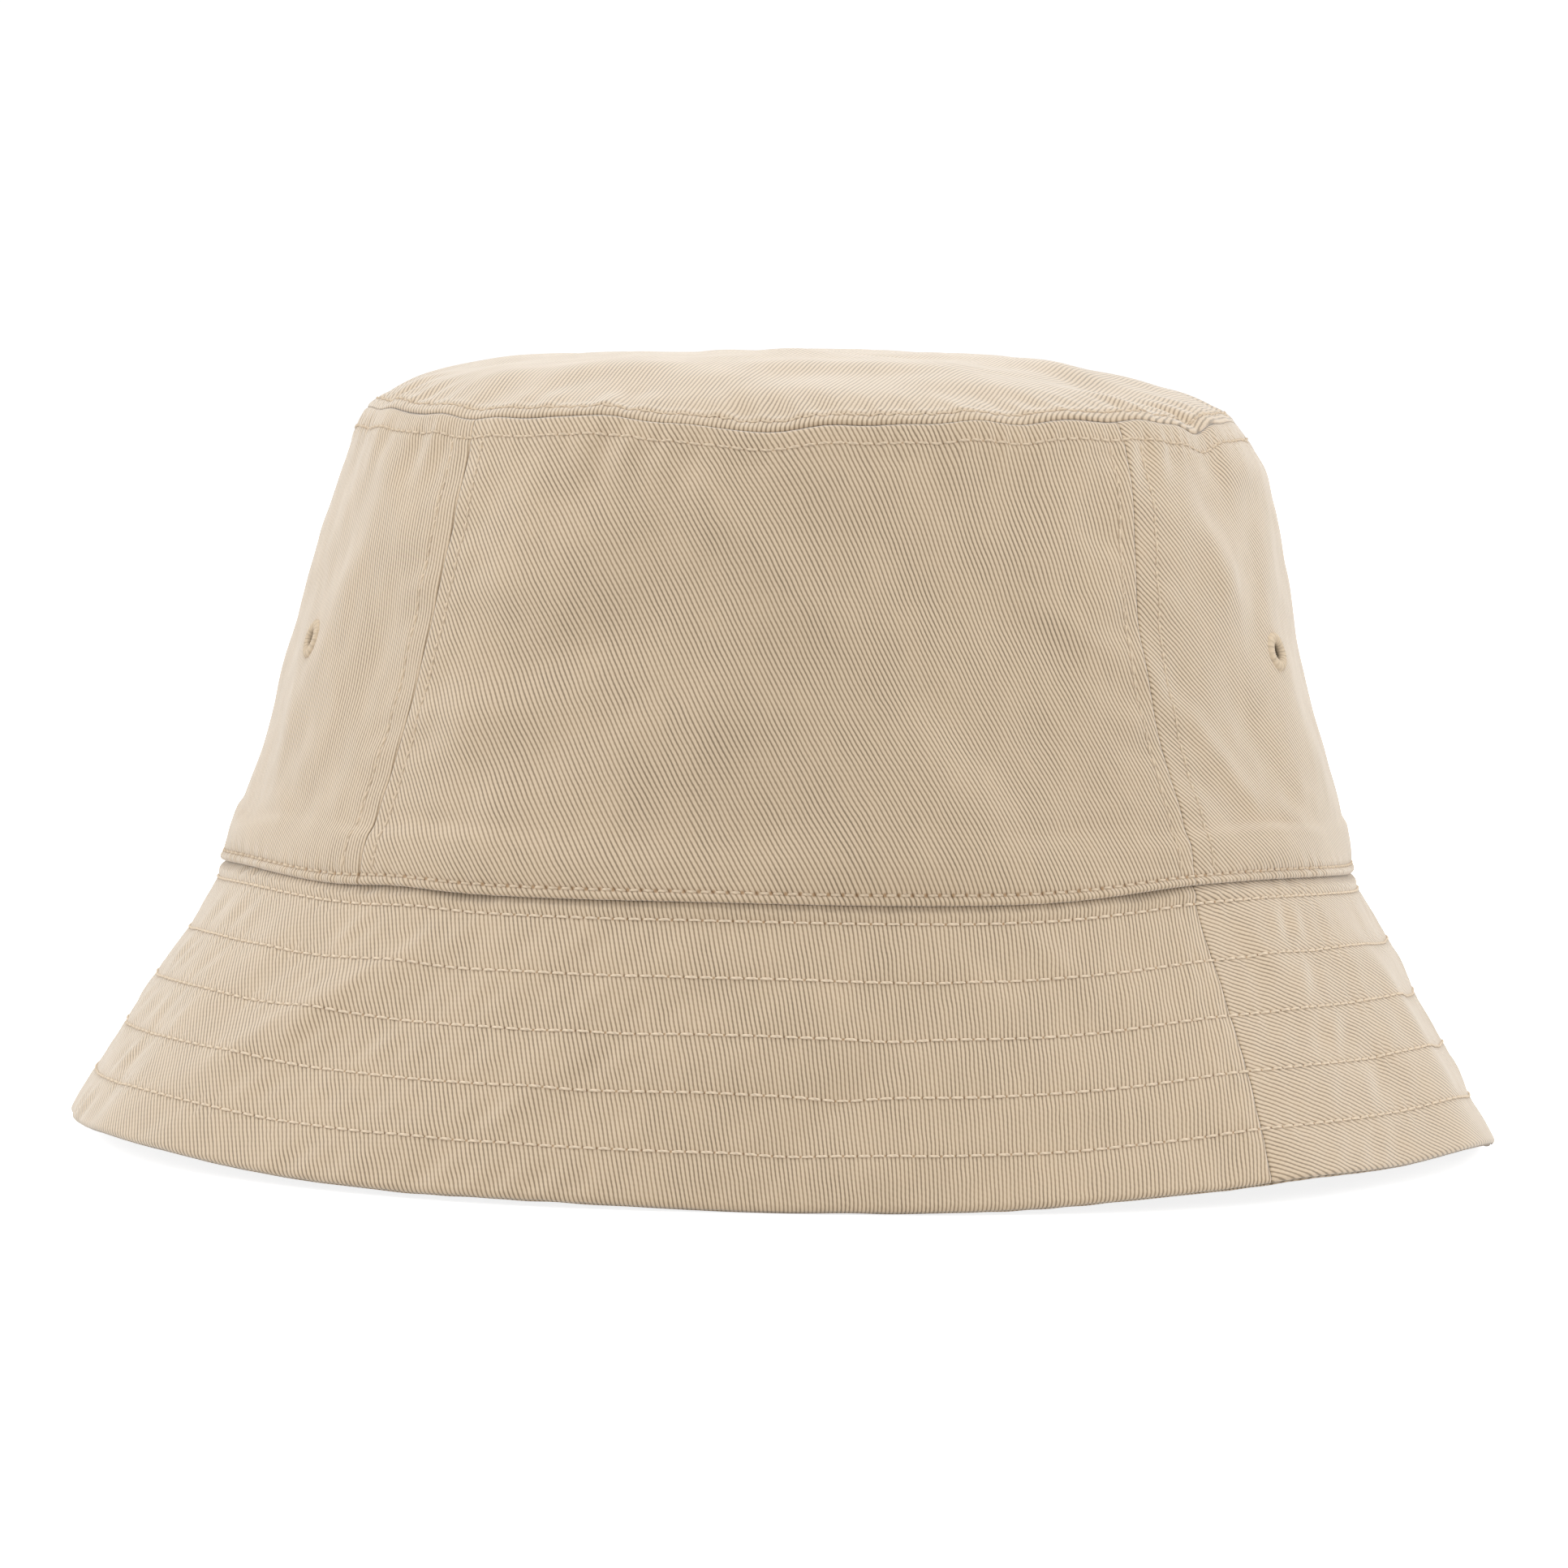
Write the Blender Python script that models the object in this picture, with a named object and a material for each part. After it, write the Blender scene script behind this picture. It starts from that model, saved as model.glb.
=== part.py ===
"""A bucket hat: a four-panel twill crown with a domed top, on a stitched two-layer brim.

Metres, +Z up, front towards -Y. The origin is the centre of the brim's lower edge, on the table.
Every level of the hat is an oval, OVAL_RATIO longer from front to back than from side to side. A
"radius" below is the side-to-side half-size of such an oval. An azimuth is counted from the front
towards +X, so the wearer's face is at 0 and the hat's right-hand side, seen from the front, at 90.
"""

import math

import bmesh
import bpy
from mathutils import Matrix, Vector

# The hat's outline
HEAD_CIRCUMFERENCE = 0.590  # inside the sweatband, an adult's size 59
OVAL_RATIO = 1.05
BRIM_FLARE = 0.0242  # how far the brim's edge stands out from the crown's lower edge
FOLD_HEIGHT = 0.0448  # the crown's folded lower edge, above the brim's edge
SEAM_HEIGHT = 0.1213  # the seam between the wall and the top
CROWN_TAPER = 0.0214  # how much narrower the crown is at that seam than at its lower edge
WALL_BULGE = 0.0018
BRIM_BULGE = 0.0008  # how far the brim's profile bows outwards at its control point
DOME_RISE = 0.0110
DOME_FLATNESS = 3  # higher numbers make the top flatter in the middle
DOME_SHOULDER = 0.75  # under 1, so that the top leaves its seam steeply

# Layers and seams
CLOTH = 0.0006
BRIM_CLOTH = 0.0005
INTERLINING_CLOTH = 0.0003
GAP = 0.0003  # between neighbouring layers
BRIM_STACK = 2 * BRIM_CLOTH + INTERLINING_CLOTH + 2 * GAP
BAND_STACK = 2 * CLOTH + BRIM_STACK + 2 * GAP  # from the crown's outer face to the band's inner face
NECK = 0.005  # how far the brim runs up inside the crown
BAND_HEIGHT = 0.034
TAPE_CLOTH = 0.0004
TAPE_WIDTH = 0.012
TOP_TAPE_WIDTH = 0.0084
SEAM_AZIMUTHS = {"front_right": 43, "back_right": 137, "back_left": 223, "front_left": 317}
BRIM_SEAMS = (-137, 43, 223)  # the brim's two pieces meet at these azimuths
SEAM_OPENING = 0.24  # degrees between two panels at a seam

# Stitching
THREAD_WIDTH = 0.0005
THREAD_HEIGHT = 0.0003
TOP_STITCH_OFFSET = 0.0025  # from the top seam to the row above it, on the top
WALL_STITCH_OFFSET = 0.0031  # from the top seam to the row below it, on the wall
SEAM_STITCH_OFFSET = 0.003  # from an upright seam to the row on its front or back panel
SIDE_STITCH_OFFSET = 0.0046  # from an upright seam to the row on its side panel
BASE_STITCH_OFFSET = 0.0018  # from the crown's lower edge to its row
FIRST_BRIM_ROW = 0.0032  # from the crown's lower edge to the brim's first row, along the cloth
BRIM_ROW_SPACING = 0.0098
BRIM_ROWS = 5

# Eyelets and label
EYELET_AZIMUTHS = {"right_front": 70, "right_back": 110, "left_back": 250, "left_front": 290}
EYELET_HEIGHT = 0.0836
EYELET_HOLE = 0.0014
EYELET_RADIUS = 0.00315
EYELET_BARREL = 0.0017
EYELET_RISE = 0.0005  # how far its thread ring stands up on each face of the cloth
EYELET_ROUNDING = 0.0005
PANEL_HOLE = 0.0019
LABEL_SIZE = (0.022, 0.0004, 0.028)
LABEL_HINGE = (0.0, 0.0846, 0.0775)  # the line of stitches that it swings on, along X

DIVISIONS = 64  # facets round each oval
EYELET_DIVISIONS = 14

FOLD_RADIUS = HEAD_CIRCUMFERENCE / math.pi / (1 + OVAL_RATIO) + BAND_STACK
RIM_RADIUS = FOLD_RADIUS + BRIM_FLARE
SEAM_RADIUS = FOLD_RADIUS - CROWN_TAPER


# Points and profiles. A profile is a list of (radius, height) points on a layer's outer face.

def oval_point(radius, azimuth, height):
    angle = math.radians(azimuth)
    return Vector((radius * math.sin(angle), -OVAL_RATIO * radius * math.cos(angle), height))


def azimuths_between(start, end, opening=0.0):
    """The facets' azimuths from start to end, drawn in by half the opening at each end."""
    step = 360 / DIVISIONS
    inner = range(math.floor(start / step) + 1, math.ceil(end / step))
    return [start + opening / 2, *(index * step for index in inner), end - opening / 2]


def wall_radius(height):
    share = (height - FOLD_HEIGHT) / (SEAM_HEIGHT - FOLD_HEIGHT)
    return FOLD_RADIUS - CROWN_TAPER * share + WALL_BULGE * math.sin(math.pi * share**3)


def wall_profile(low, high, steps):
    heights = (low + (high - low) * index / steps for index in range(steps + 1))
    return [(wall_radius(height), height) for height in heights]


def dome_height(share, rise=DOME_RISE):
    """The top's height at a share of the way from its middle (0) to its seam (1)."""
    return SEAM_HEIGHT + rise * (1 - share**DOME_FLATNESS) ** DOME_SHOULDER


def brim_point(share):
    """A point on the brim's outer face, from the crown's lower edge (0) to the brim's edge (1)."""
    start = Vector((FOLD_RADIUS - CLOTH - GAP, FOLD_HEIGHT - GAP))
    end = Vector((RIM_RADIUS, 0))
    outwards = Vector((start.y - end.y, end.x - start.x)).normalized()
    control = (start + end) / 2 + outwards * BRIM_BULGE
    return start * (1 - share) ** 2 + control * 2 * share * (1 - share) + end * share**2


def brim_profile(first=0.0, last=1.0, steps=5):
    return [tuple(brim_point(first + (last - first) * index / steps)) for index in range(steps + 1)]


def with_neck(profile):
    """The profile with its first point joined to the top of the neck that runs up inside the crown."""
    top = FOLD_HEIGHT + NECK
    return [(wall_radius(top) - CLOTH - GAP, top), *profile]


def inset(profile, depth):
    """The profile moved inwards by depth, measured square to the cloth, at unchanged heights."""
    moved = []
    for index, (radius, height) in enumerate(profile):
        before, after = profile[max(index - 1, 0)], profile[min(index + 1, len(profile) - 1)]
        run, rise = after[0] - before[0], after[1] - before[1]
        moved.append((radius - depth * math.hypot(run, rise) / abs(rise), height))
    return moved


def layer_section(profile, depth, thickness):
    """The closed outline of a layer that lies depth inside the profile."""
    return inset(profile, depth) + inset(profile, depth + thickness)[::-1]


# Solids

def new_material(name, colour, roughness):
    material = bpy.data.materials.new(name)
    material.use_nodes = True
    shader = material.node_tree.nodes["Principled BSDF"]
    shader.inputs["Base Color"].default_value = (*colour, 1)
    shader.inputs["Roughness"].default_value = roughness
    shader.inputs["Metallic"].default_value = 0
    return material


def loft(name, sections, material, ring=False, origin=(0, 0, 0)):
    """One closed solid through the sections, each a closed outline with the same number of points.
    A ring joins the last section to the first; otherwise both ends are capped."""
    mesh = bmesh.new()
    rows = [[mesh.verts.new(Vector(point) - Vector(origin)) for point in section] for section in sections]
    following = rows[1:] + rows[:1] if ring else rows[1:]
    for row, after in zip(rows, following):
        for index in range(len(row)):
            mesh.faces.new((row[index - 1], row[index], after[index], after[index - 1]))
    if not ring:
        mesh.faces.new(rows[0])
        mesh.faces.new(rows[-1])
    bmesh.ops.recalc_face_normals(mesh, faces=mesh.faces)
    data = bpy.data.meshes.new(name)
    mesh.to_mesh(data)
    mesh.free()
    data.materials.append(material)
    data.shade_smooth()
    data.set_sharp_from_angle(angle=math.radians(40))
    solid = bpy.data.objects.new(name, data)
    solid.location = origin
    bpy.context.scene.collection.objects.link(solid)
    return solid


def swept(name, outline, material, start=0.0, end=360.0, opening=SEAM_OPENING):
    """An outline of (radius, height) points carried round the hat, from one azimuth to another."""
    ring = end - start == 360
    azimuths = azimuths_between(start, end, 0 if ring else opening)
    if ring:
        azimuths.pop()
    sections = [[oval_point(radius, azimuth, height) for radius, height in outline] for azimuth in azimuths]
    return loft(name, sections, material, ring)


def thread_ring(name, profile, material):
    """A sewn row round the hat. The profile's two points are the row's place and one beyond it."""
    here, beyond = Vector(profile[0]), Vector(profile[1])
    along = (beyond - here).normalized()
    outwards = Vector((abs(along.y), -along.x * math.copysign(1, along.y)))
    base = here + outwards * GAP
    side = along * THREAD_WIDTH / 2
    outline = [base - side, base + side, base + outwards * THREAD_HEIGHT]
    return swept(name, outline, material)


def wall_frame(azimuth, height):
    """The point of the crown's outer face at an azimuth and height, with the face's normal."""
    def at(azimuth, height):
        return oval_point(wall_radius(height), azimuth, height)

    round_hat = at(azimuth + 1, height) - at(azimuth - 1, height)
    up_wall = at(azimuth, height + 0.001) - at(azimuth, height - 0.001)
    return at(azimuth, height), round_hat.cross(up_wall).normalized()


# Sub-parts

def make_crown_panels(twill):
    outline = layer_section(wall_profile(FOLD_HEIGHT, SEAM_HEIGHT - GAP / 2, 6), 0, CLOTH)
    seams = list(SEAM_AZIMUTHS.values())
    starts = (seams[-1] - 360, *seams[:-1])
    for name, start, end in zip(("front", "right", "back", "left"), starts, seams):
        swept(f"crown_panel_{name}", outline, twill, start, end)


def make_crown_top(twill):
    """The domed top, made of ovals from its middle to its seam and back along its inner face."""
    def dome_ring(share, radius, rise):
        height = dome_height(share, rise) + GAP / 2
        return [oval_point(radius * share, azimuth, height) for azimuth in azimuths_between(0, 360)[:-1]]

    shares = (0.25, 0.6, 0.82, 0.94, 0.985, 1.0)
    outer = [dome_ring(share, SEAM_RADIUS, DOME_RISE) for share in shares]
    inner = [dome_ring(share, SEAM_RADIUS - CLOTH, DOME_RISE - CLOTH) for share in reversed(shares)]
    loft("crown_top", outer + inner, twill)


def make_brim(twill, interlining):
    """The upper and under layers, each of two pieces, and the stiffening sheet between them."""
    upper = layer_section(with_neck(brim_profile(last=0.99)), 0, BRIM_CLOTH)
    under = layer_section(with_neck(brim_profile()), BRIM_STACK - BRIM_CLOTH, BRIM_CLOTH)
    for side, start, end in zip(("front", "back"), BRIM_SEAMS, BRIM_SEAMS[1:]):
        swept(f"brim_top_{side}", upper, twill, start, end)
        swept(f"brim_under_{side}", under, twill, start, end)
    middle = layer_section(brim_profile(0.03, 0.96, 4), BRIM_CLOTH + GAP, INTERLINING_CLOTH)
    swept("brim_interlining", middle, interlining)


def make_sweatband(canvas):
    profile = wall_profile(FOLD_HEIGHT + GAP, FOLD_HEIGHT + BAND_HEIGHT, 3)
    swept("sweatband", layer_section(profile, BAND_STACK - CLOTH, CLOTH), canvas)


def make_seam_tapes(tape):
    """The bindings sewn over the crown's seam allowances, inside."""
    top = SEAM_HEIGHT - 2 * GAP
    depth = CLOTH + GAP
    ring = wall_profile(top - TOP_TAPE_WIDTH, top, 2)
    swept("seam_tape_top", layer_section(ring, depth, TAPE_CLOTH), tape)
    upright = wall_profile(FOLD_HEIGHT + NECK + 4 * GAP, top - TOP_TAPE_WIDTH - GAP, 4)
    half_angle = math.degrees(TAPE_WIDTH / 2 / wall_radius(FOLD_HEIGHT + BAND_HEIGHT))
    for name, azimuth in SEAM_AZIMUTHS.items():
        outline = layer_section(upright, depth, TAPE_CLOTH)
        swept(f"seam_tape_{name}", outline, tape, azimuth - half_angle, azimuth + half_angle, 0)


def make_ring_stitches(thread):
    """The rows round the brim, round the crown's lower edge and just below its top seam."""
    length = (Vector(brim_point(1)) - Vector(brim_point(0))).length
    for row in range(BRIM_ROWS):
        share = (FIRST_BRIM_ROW + row * BRIM_ROW_SPACING) / length
        thread_ring(f"brim_stitch_{row + 1}", brim_profile(share, share + 0.01, 1), thread)
    base = FOLD_HEIGHT + BASE_STITCH_OFFSET
    thread_ring("base_edge_stitch", wall_profile(base, base + THREAD_WIDTH, 1), thread)
    below = SEAM_HEIGHT - WALL_STITCH_OFFSET
    thread_ring("top_seam_stitch_wall", wall_profile(below, below + THREAD_WIDTH, 1), thread)


def make_top_stitch(thread):
    """The row on the domed top, level with its seam: a ring standing off the dome's steep edge."""
    share = 1 - TOP_STITCH_OFFSET / 2 / SEAM_RADIUS
    radius, height = SEAM_RADIUS * share + GAP, dome_height(share) + 3 * GAP
    corners = ((0, 0), (THREAD_WIDTH, 0), (THREAD_WIDTH / 2, THREAD_HEIGHT))
    outline = [(radius + across, height + up) for across, up in corners]
    swept("top_seam_stitch_crown", outline, thread)


def make_seam_stitches(thread):
    """Two rows along each of the crown's upright seams, one on each side."""
    low, high = FOLD_HEIGHT + 1.5 * BASE_STITCH_OFFSET, SEAM_HEIGHT - 1.25 * WALL_STITCH_OFFSET
    heights = [height for _, height in wall_profile(low, high, 6)]
    for name, seam in SEAM_AZIMUTHS.items():
        for row, side in enumerate((-1, 1), start=1):
            on_side_panel = side * math.sin(math.radians(2 * seam)) > 0
            offset = SIDE_STITCH_OFFSET if on_side_panel else SEAM_STITCH_OFFSET
            sections = []
            for height in heights:
                radius = wall_radius(height)
                centre = seam + side * math.degrees(offset / radius)
                spread = math.degrees(THREAD_WIDTH / 2 / radius)
                corners = ((GAP, -spread), (GAP, spread), (GAP + THREAD_HEIGHT, 0))
                sections.append([oval_point(radius + off, centre + turn, height) for off, turn in corners])
            loft(f"seam_stitch_{name}_{row}", sections, thread)


def eyelet_sections(azimuth):
    """Outlines round an eyelet's hole: a thread ring on each face of the cloth, joined through the hole."""
    outer, inner = GAP, -CLOTH - GAP
    outline = (
        (EYELET_HOLE, outer), (EYELET_HOLE + EYELET_ROUNDING, outer + EYELET_RISE),
        (EYELET_RADIUS - EYELET_ROUNDING, outer + EYELET_RISE), (EYELET_RADIUS, outer),
        (EYELET_BARREL, outer), (EYELET_BARREL, inner),
        (EYELET_RADIUS, inner), (EYELET_RADIUS - EYELET_ROUNDING, inner - EYELET_RISE),
        (EYELET_HOLE + EYELET_ROUNDING, inner - EYELET_RISE), (EYELET_HOLE, inner),
    )
    place, normal = wall_frame(azimuth, EYELET_HEIGHT)
    across = normal.orthogonal().normalized()
    for index in range(EYELET_DIVISIONS):
        spoke = Matrix.Rotation(math.tau * index / EYELET_DIVISIONS, 3, normal) @ across
        yield [place + spoke * radius + normal * depth for radius, depth in outline]


def make_eyelets(thread):
    """Two embroidered eyelets in each side panel, and the panel's hole under each."""
    for name, azimuth in EYELET_AZIMUTHS.items():
        loft(f"eyelet_{name}", list(eyelet_sections(azimuth)), thread, ring=True)
        place, normal = wall_frame(azimuth, EYELET_HEIGHT)
        bpy.ops.mesh.primitive_cylinder_add(vertices=EYELET_DIVISIONS, radius=PANEL_HOLE, depth=10 * CLOTH)
        cutter = bpy.context.object
        cutter.name = f"cutter_{name}"
        cutter.matrix_world = Matrix.Translation(place) @ normal.to_track_quat("Z", "Y").to_matrix().to_4x4()
        cutter.hide_render = True
        cutter.display_type = "WIRE"
        side = name.split("_")[0]
        cut = bpy.data.objects[f"crown_panel_{side}"].modifiers.new(cutter.name, "BOOLEAN")
        cut.object = cutter


def make_label(cloth):
    """A blank care label that swings on the stitches along its upper edge, inside the sweatband's back."""
    width, thickness, length = LABEL_SIZE
    x, y, z = LABEL_HINGE
    corners = ((-width, -thickness), (width, -thickness), (width, thickness), (-width, thickness))
    sections = [[(x + dx / 2, y + dy / 2, z - drop) for dx, dy in corners] for drop in (0, length)]
    loft("care_label", sections, cloth, origin=LABEL_HINGE)


def main():
    for existing in list(bpy.data.objects):
        bpy.data.objects.remove(existing)
    twill = new_material("twill", (0.56, 0.46, 0.33), 0.9)
    thread = new_material("thread", (0.68, 0.58, 0.43), 0.7)
    tape = new_material("tape", (0.60, 0.51, 0.38), 0.85)
    canvas = new_material("sweatband_canvas", (0.50, 0.42, 0.31), 0.85)
    interlining = new_material("interlining", (0.75, 0.74, 0.70), 0.9)
    label_cloth = new_material("label_cloth", (0.80, 0.79, 0.76), 0.6)
    make_crown_panels(twill)
    make_crown_top(twill)
    make_brim(twill, interlining)
    make_sweatband(canvas)
    make_seam_tapes(tape)
    make_ring_stitches(thread)
    make_top_stitch(thread)
    make_seam_stitches(thread)
    make_eyelets(thread)
    make_label(label_cloth)


main()
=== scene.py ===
"""A beige cotton twill bucket hat on a pale floor in soft studio light.

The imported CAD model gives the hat's size and the places of its seams, stitch rows, eyelets and label.
Each piece of cloth is made here as a thin closed sheet, and every sheet lies on one of three shared
surfaces: the crown's wall, its domed top, and the brim. A surface is a smooth oval shape plus its
relief, in metres outwards: soft folds, puckers at the seams, grooves under the stitches. So the
pieces, and the threads sewn into them, stay together. An azimuth is in degrees from the hat's front,
which faces -Y, towards +X.
"""

import math

import bmesh
import bpy
import numpy as np
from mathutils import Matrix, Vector


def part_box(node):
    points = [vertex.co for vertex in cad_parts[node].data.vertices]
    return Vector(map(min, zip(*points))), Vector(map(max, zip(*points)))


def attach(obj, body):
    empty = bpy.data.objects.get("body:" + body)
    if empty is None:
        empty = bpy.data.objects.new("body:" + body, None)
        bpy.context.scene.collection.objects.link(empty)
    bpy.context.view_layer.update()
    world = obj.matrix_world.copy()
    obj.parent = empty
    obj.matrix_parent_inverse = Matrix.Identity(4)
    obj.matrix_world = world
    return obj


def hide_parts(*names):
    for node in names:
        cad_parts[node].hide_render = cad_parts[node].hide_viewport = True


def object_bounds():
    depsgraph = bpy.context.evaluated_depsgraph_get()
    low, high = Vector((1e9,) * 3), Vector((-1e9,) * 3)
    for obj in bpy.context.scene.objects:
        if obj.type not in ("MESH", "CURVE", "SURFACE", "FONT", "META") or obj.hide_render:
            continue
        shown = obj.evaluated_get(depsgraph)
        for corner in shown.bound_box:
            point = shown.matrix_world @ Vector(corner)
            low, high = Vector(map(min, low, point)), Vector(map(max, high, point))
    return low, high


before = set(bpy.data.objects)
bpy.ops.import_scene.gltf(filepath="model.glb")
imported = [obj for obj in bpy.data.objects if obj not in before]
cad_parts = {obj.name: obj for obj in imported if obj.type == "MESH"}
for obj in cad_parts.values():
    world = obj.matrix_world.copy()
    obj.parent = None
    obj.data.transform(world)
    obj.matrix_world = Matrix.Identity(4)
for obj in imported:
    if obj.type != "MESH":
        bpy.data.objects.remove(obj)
CAD_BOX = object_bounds()


# ---- Sizes, in metres. The first block is read from the CAD model.

def half_size(node):
    low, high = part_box(node)
    return (high - low) / 2


def middle_height(node):
    low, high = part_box(node)
    return (low.z + high.z) / 2


OVAL = half_size("brim_stitch_3").y / half_size("brim_stitch_3").x
FOLD_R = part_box("crown_panel_right")[1].x
FOLD_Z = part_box("crown_panel_right")[0].z
SEAM_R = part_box("crown_top")[1].x
SEAM_Z = (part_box("crown_panel_right")[1].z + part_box("crown_top")[0].z) / 2
DOME_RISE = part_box("crown_top")[1].z - SEAM_Z
RIM_R = CAD_BOX[1].x
BAND_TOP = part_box("sweatband")[1].z
BASE_STITCH_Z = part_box("base_edge_stitch")[0].z - 0.0001  # a little lower than in CAD
EYELET_Z = middle_height("eyelet_left_front")
EYELET_R = half_size("eyelet_left_front").z * 1.06  # a little fuller than in CAD
EYELET_HOLE = 0.0014  # radius of the open hole
SEAMS = (43, 137, 223, 317)  # azimuths of the crown's upright seams
SEAM_NAMES = ("front_right", "back_right", "back_left", "front_left")
BRIM_SEAMS = (-137, 43, 223)  # the first and the last are one seam
EYELETS = {"right_front": 70, "right_back": 110, "left_back": 250, "left_front": 290}

MEAN_SHAPE = (1 + OVAL) / 2  # an oval's mean radius, as a share of its radius to the side
NEAR_SHAPE = 1.02  # the same near the upright seams and eyelets, where rows are laid out on the wall
WALL_BULGE = 0.0018  # how far the wall bows outwards near its top
FRONT_RISE = 0.0014  # the fold lies this much higher at the front and back than at the sides
# By how many degrees each upright seam strays at five equal steps from the wall's foot to its top
SEAM_STRAY = {43: (-0.1, -0.6, -2.0, -1.0, 1.7), 137: (0.6, 0.0, 0.0, 0.5, 1.4),
              223: (-0.4, 0.6, 0.8, 0.2, -1.2), 317: (-3.4, -2.75, -0.9, -0.1, -2.0)}
BRIM_SEAM_STRAY = -5.8  # by how many degrees the brim's front seam strays on its way to the rim
BRIM_BULGE = 0.0009  # how far the brim's profile bows outwards at its control point
BRIM_STEP = 0.00095  # the brim comes out this far inside the crown's outer face
BRIM_LENGTH = math.hypot(RIM_R - FOLD_R + BRIM_STEP, FOLD_Z)
BRIM_DEPTH = 0.0019  # through both layers
BRIM_MIDDLE_R = 0.107
BRIM_FOLDS_R = 0.110  # where the brim's folds have the widths that their table gives
CLOTH = 0.00045  # thickness
HEM = 0.0045
BAND_DEPTH = -0.0033  # of the sweatband and of the tapes, from the wall's outer face
TAPE_DEPTH = -0.0010
STITCH_PITCH = 0.0022  # of the crown's rows
BRIM_PITCH = 0.0025
SEAM_STITCH = 0.003  # from an upright seam to the row on its front or back panel
SIDE_STITCH = 0.0046  # from an upright seam to the row on its side panel
TOP_STITCH = 0.0023  # from the top seam to the row above it
WALL_STITCH = 0.0031  # from the top seam to the row below it
WALL_ROW_Z = SEAM_Z - WALL_STITCH
# The row along the crown's lower edge pulls the needle holes open by a factor, up to a height above it.
HOLE_PULL = 1.6
BASE_ROW_REACH = 0.004
THREAD = 0.00021  # radius
DETAIL = 0.8  # a factor on the spacing of the grids' points


# ---- Noise, bells and folds

def unit(arrows):
    return arrows / np.linalg.norm(arrows, axis=-1, keepdims=True)


def bell(x, width):
    return np.exp(-((x / width) ** 2))


def ramp(x, start, end):
    share = np.clip((x - start) / (end - start), 0, 1)
    return share * share * (3 - 2 * share)


def turn(azimuth, place):
    """Degrees from place to azimuth, the short way round."""
    return (np.asarray(azimuth) - place + 180) % 360 - 180


def add_waves(angles, phases):
    """The sum of sine waves, of about unit size, from each one's angles and its phase."""
    total = sum(np.sin(angle + phase) for angle, phase in zip(angles, phases))
    return total * math.sqrt(2 / len(phases))


def ripples(points, wavelength, seed, waves=16):
    """Smooth noise: waves near one wavelength, in random directions."""
    random = np.random.default_rng(seed)
    directions = unit(random.normal(size=(waves, 3)))
    lengths = wavelength * random.uniform(0.7, 1.5, waves)
    phases = random.uniform(0, math.tau, waves)
    angles = (points @ (way * math.tau / length) for way, length in zip(directions, lengths))
    return add_waves(angles, phases)


def ring_waves(azimuth, fewest, most, seed, waves=9):
    """Noise that closes round the hat, with from fewest to most crests."""
    random = np.random.default_rng(seed)
    crests = random.integers(fewest, most + 1, waves)
    phases = random.uniform(0, math.tau, waves)
    return add_waves((np.radians(azimuth) * count for count in crests), phases)


def line_waves(along, wavelength, seed, waves=7):
    """Noise along a line."""
    random = np.random.default_rng(seed)
    lengths = wavelength * random.uniform(0.7, 1.5, waves)
    phases = random.uniform(0, math.tau, waves)
    return add_waves((along * math.tau / length for length in lengths), phases)


def fold(across, along, length, width, angle, height):
    """A soft ridge, or a valley if height is negative, turned by angle degrees from the across
    direction. Its sizes are in millimetres."""
    c, s = math.cos(math.radians(angle)), math.sin(math.radians(angle))
    lengthwise = (across * c + along * s) * 1000
    sideways = (along * c - across * s) * 1000
    return height / 1000 * bell(lengthwise, length) * bell(sideways, width)


def folds_round(azimuth, radius, along, table):
    """The sum of a table's folds, whose rows give each one's azimuth, place along the cloth, length,
    width, angle and height, in degrees and millimetres."""
    total = 0
    for place, level, length, width, angle, height in table:
        across = np.radians(turn(azimuth, place)) * radius
        total = total + fold(across, along - level / 1000, length, width, angle, height)
    return total


def bells_round(azimuth, table):
    """The sum of a table's bells, whose rows give each one's azimuth, reach in degrees and height."""
    return sum(height * bell(turn(azimuth, place), reach) for place, reach, height in table)


def rumples(point, table):
    """The sum of a table's ripples, whose rows give their size, wavelength and seed."""
    return sum(size * ripples(point, wavelength, seed) for size, wavelength, seed in table)


def graded(start, end, coarse, places, fine, reach):
    """Positions from start to end, coarse apart, or up to fine apart within reach of the places."""
    x = np.linspace(start, end, 6000)
    nearest = np.min([np.abs(x - place) for place in places], axis=0)
    spacing = DETAIL * (fine + (coarse - fine) * np.clip(nearest / reach, 0, 1))
    count = np.concatenate([[0], np.cumsum((x[1] - x[0]) / spacing[1:])])
    return np.interp(np.linspace(0, count[-1], math.ceil(count[-1]) + 1), count, x)


# ---- The three surfaces

def vector(x, y, z):
    """Vectors from their components, which are arrays or numbers."""
    return np.stack(np.broadcast_arrays(x, y, z), axis=-1)


def oval(radius, azimuth, height):
    angle = np.radians(azimuth)
    return vector(radius * np.sin(angle), -OVAL * radius * np.cos(angle), height)


def surface(base, relief, side=1):
    """A function from azimuth, distance along the cloth and lift off it to a point on the surface
    with its relief. fine is the share of the small relief at the stitches that counts."""
    nudge_round, nudge_along = 0.05, 0.00005

    def at(azimuth, along, lift=0.0, fine=1.0):
        azimuth, along, lift = np.broadcast_arrays(azimuth, along, lift)
        azimuth, along = azimuth.astype(float), along.astype(float)
        point = base(azimuth, along)
        around = base(azimuth + nudge_round, along) - base(azimuth - nudge_round, along)
        onwards = base(azimuth, along + nudge_along) - base(azimuth, along - nudge_along)
        normal = unit(np.cross(around, onwards)) * side
        return point + normal * (relief(azimuth, along, point, fine) + lift)[..., None]
    return at


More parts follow.
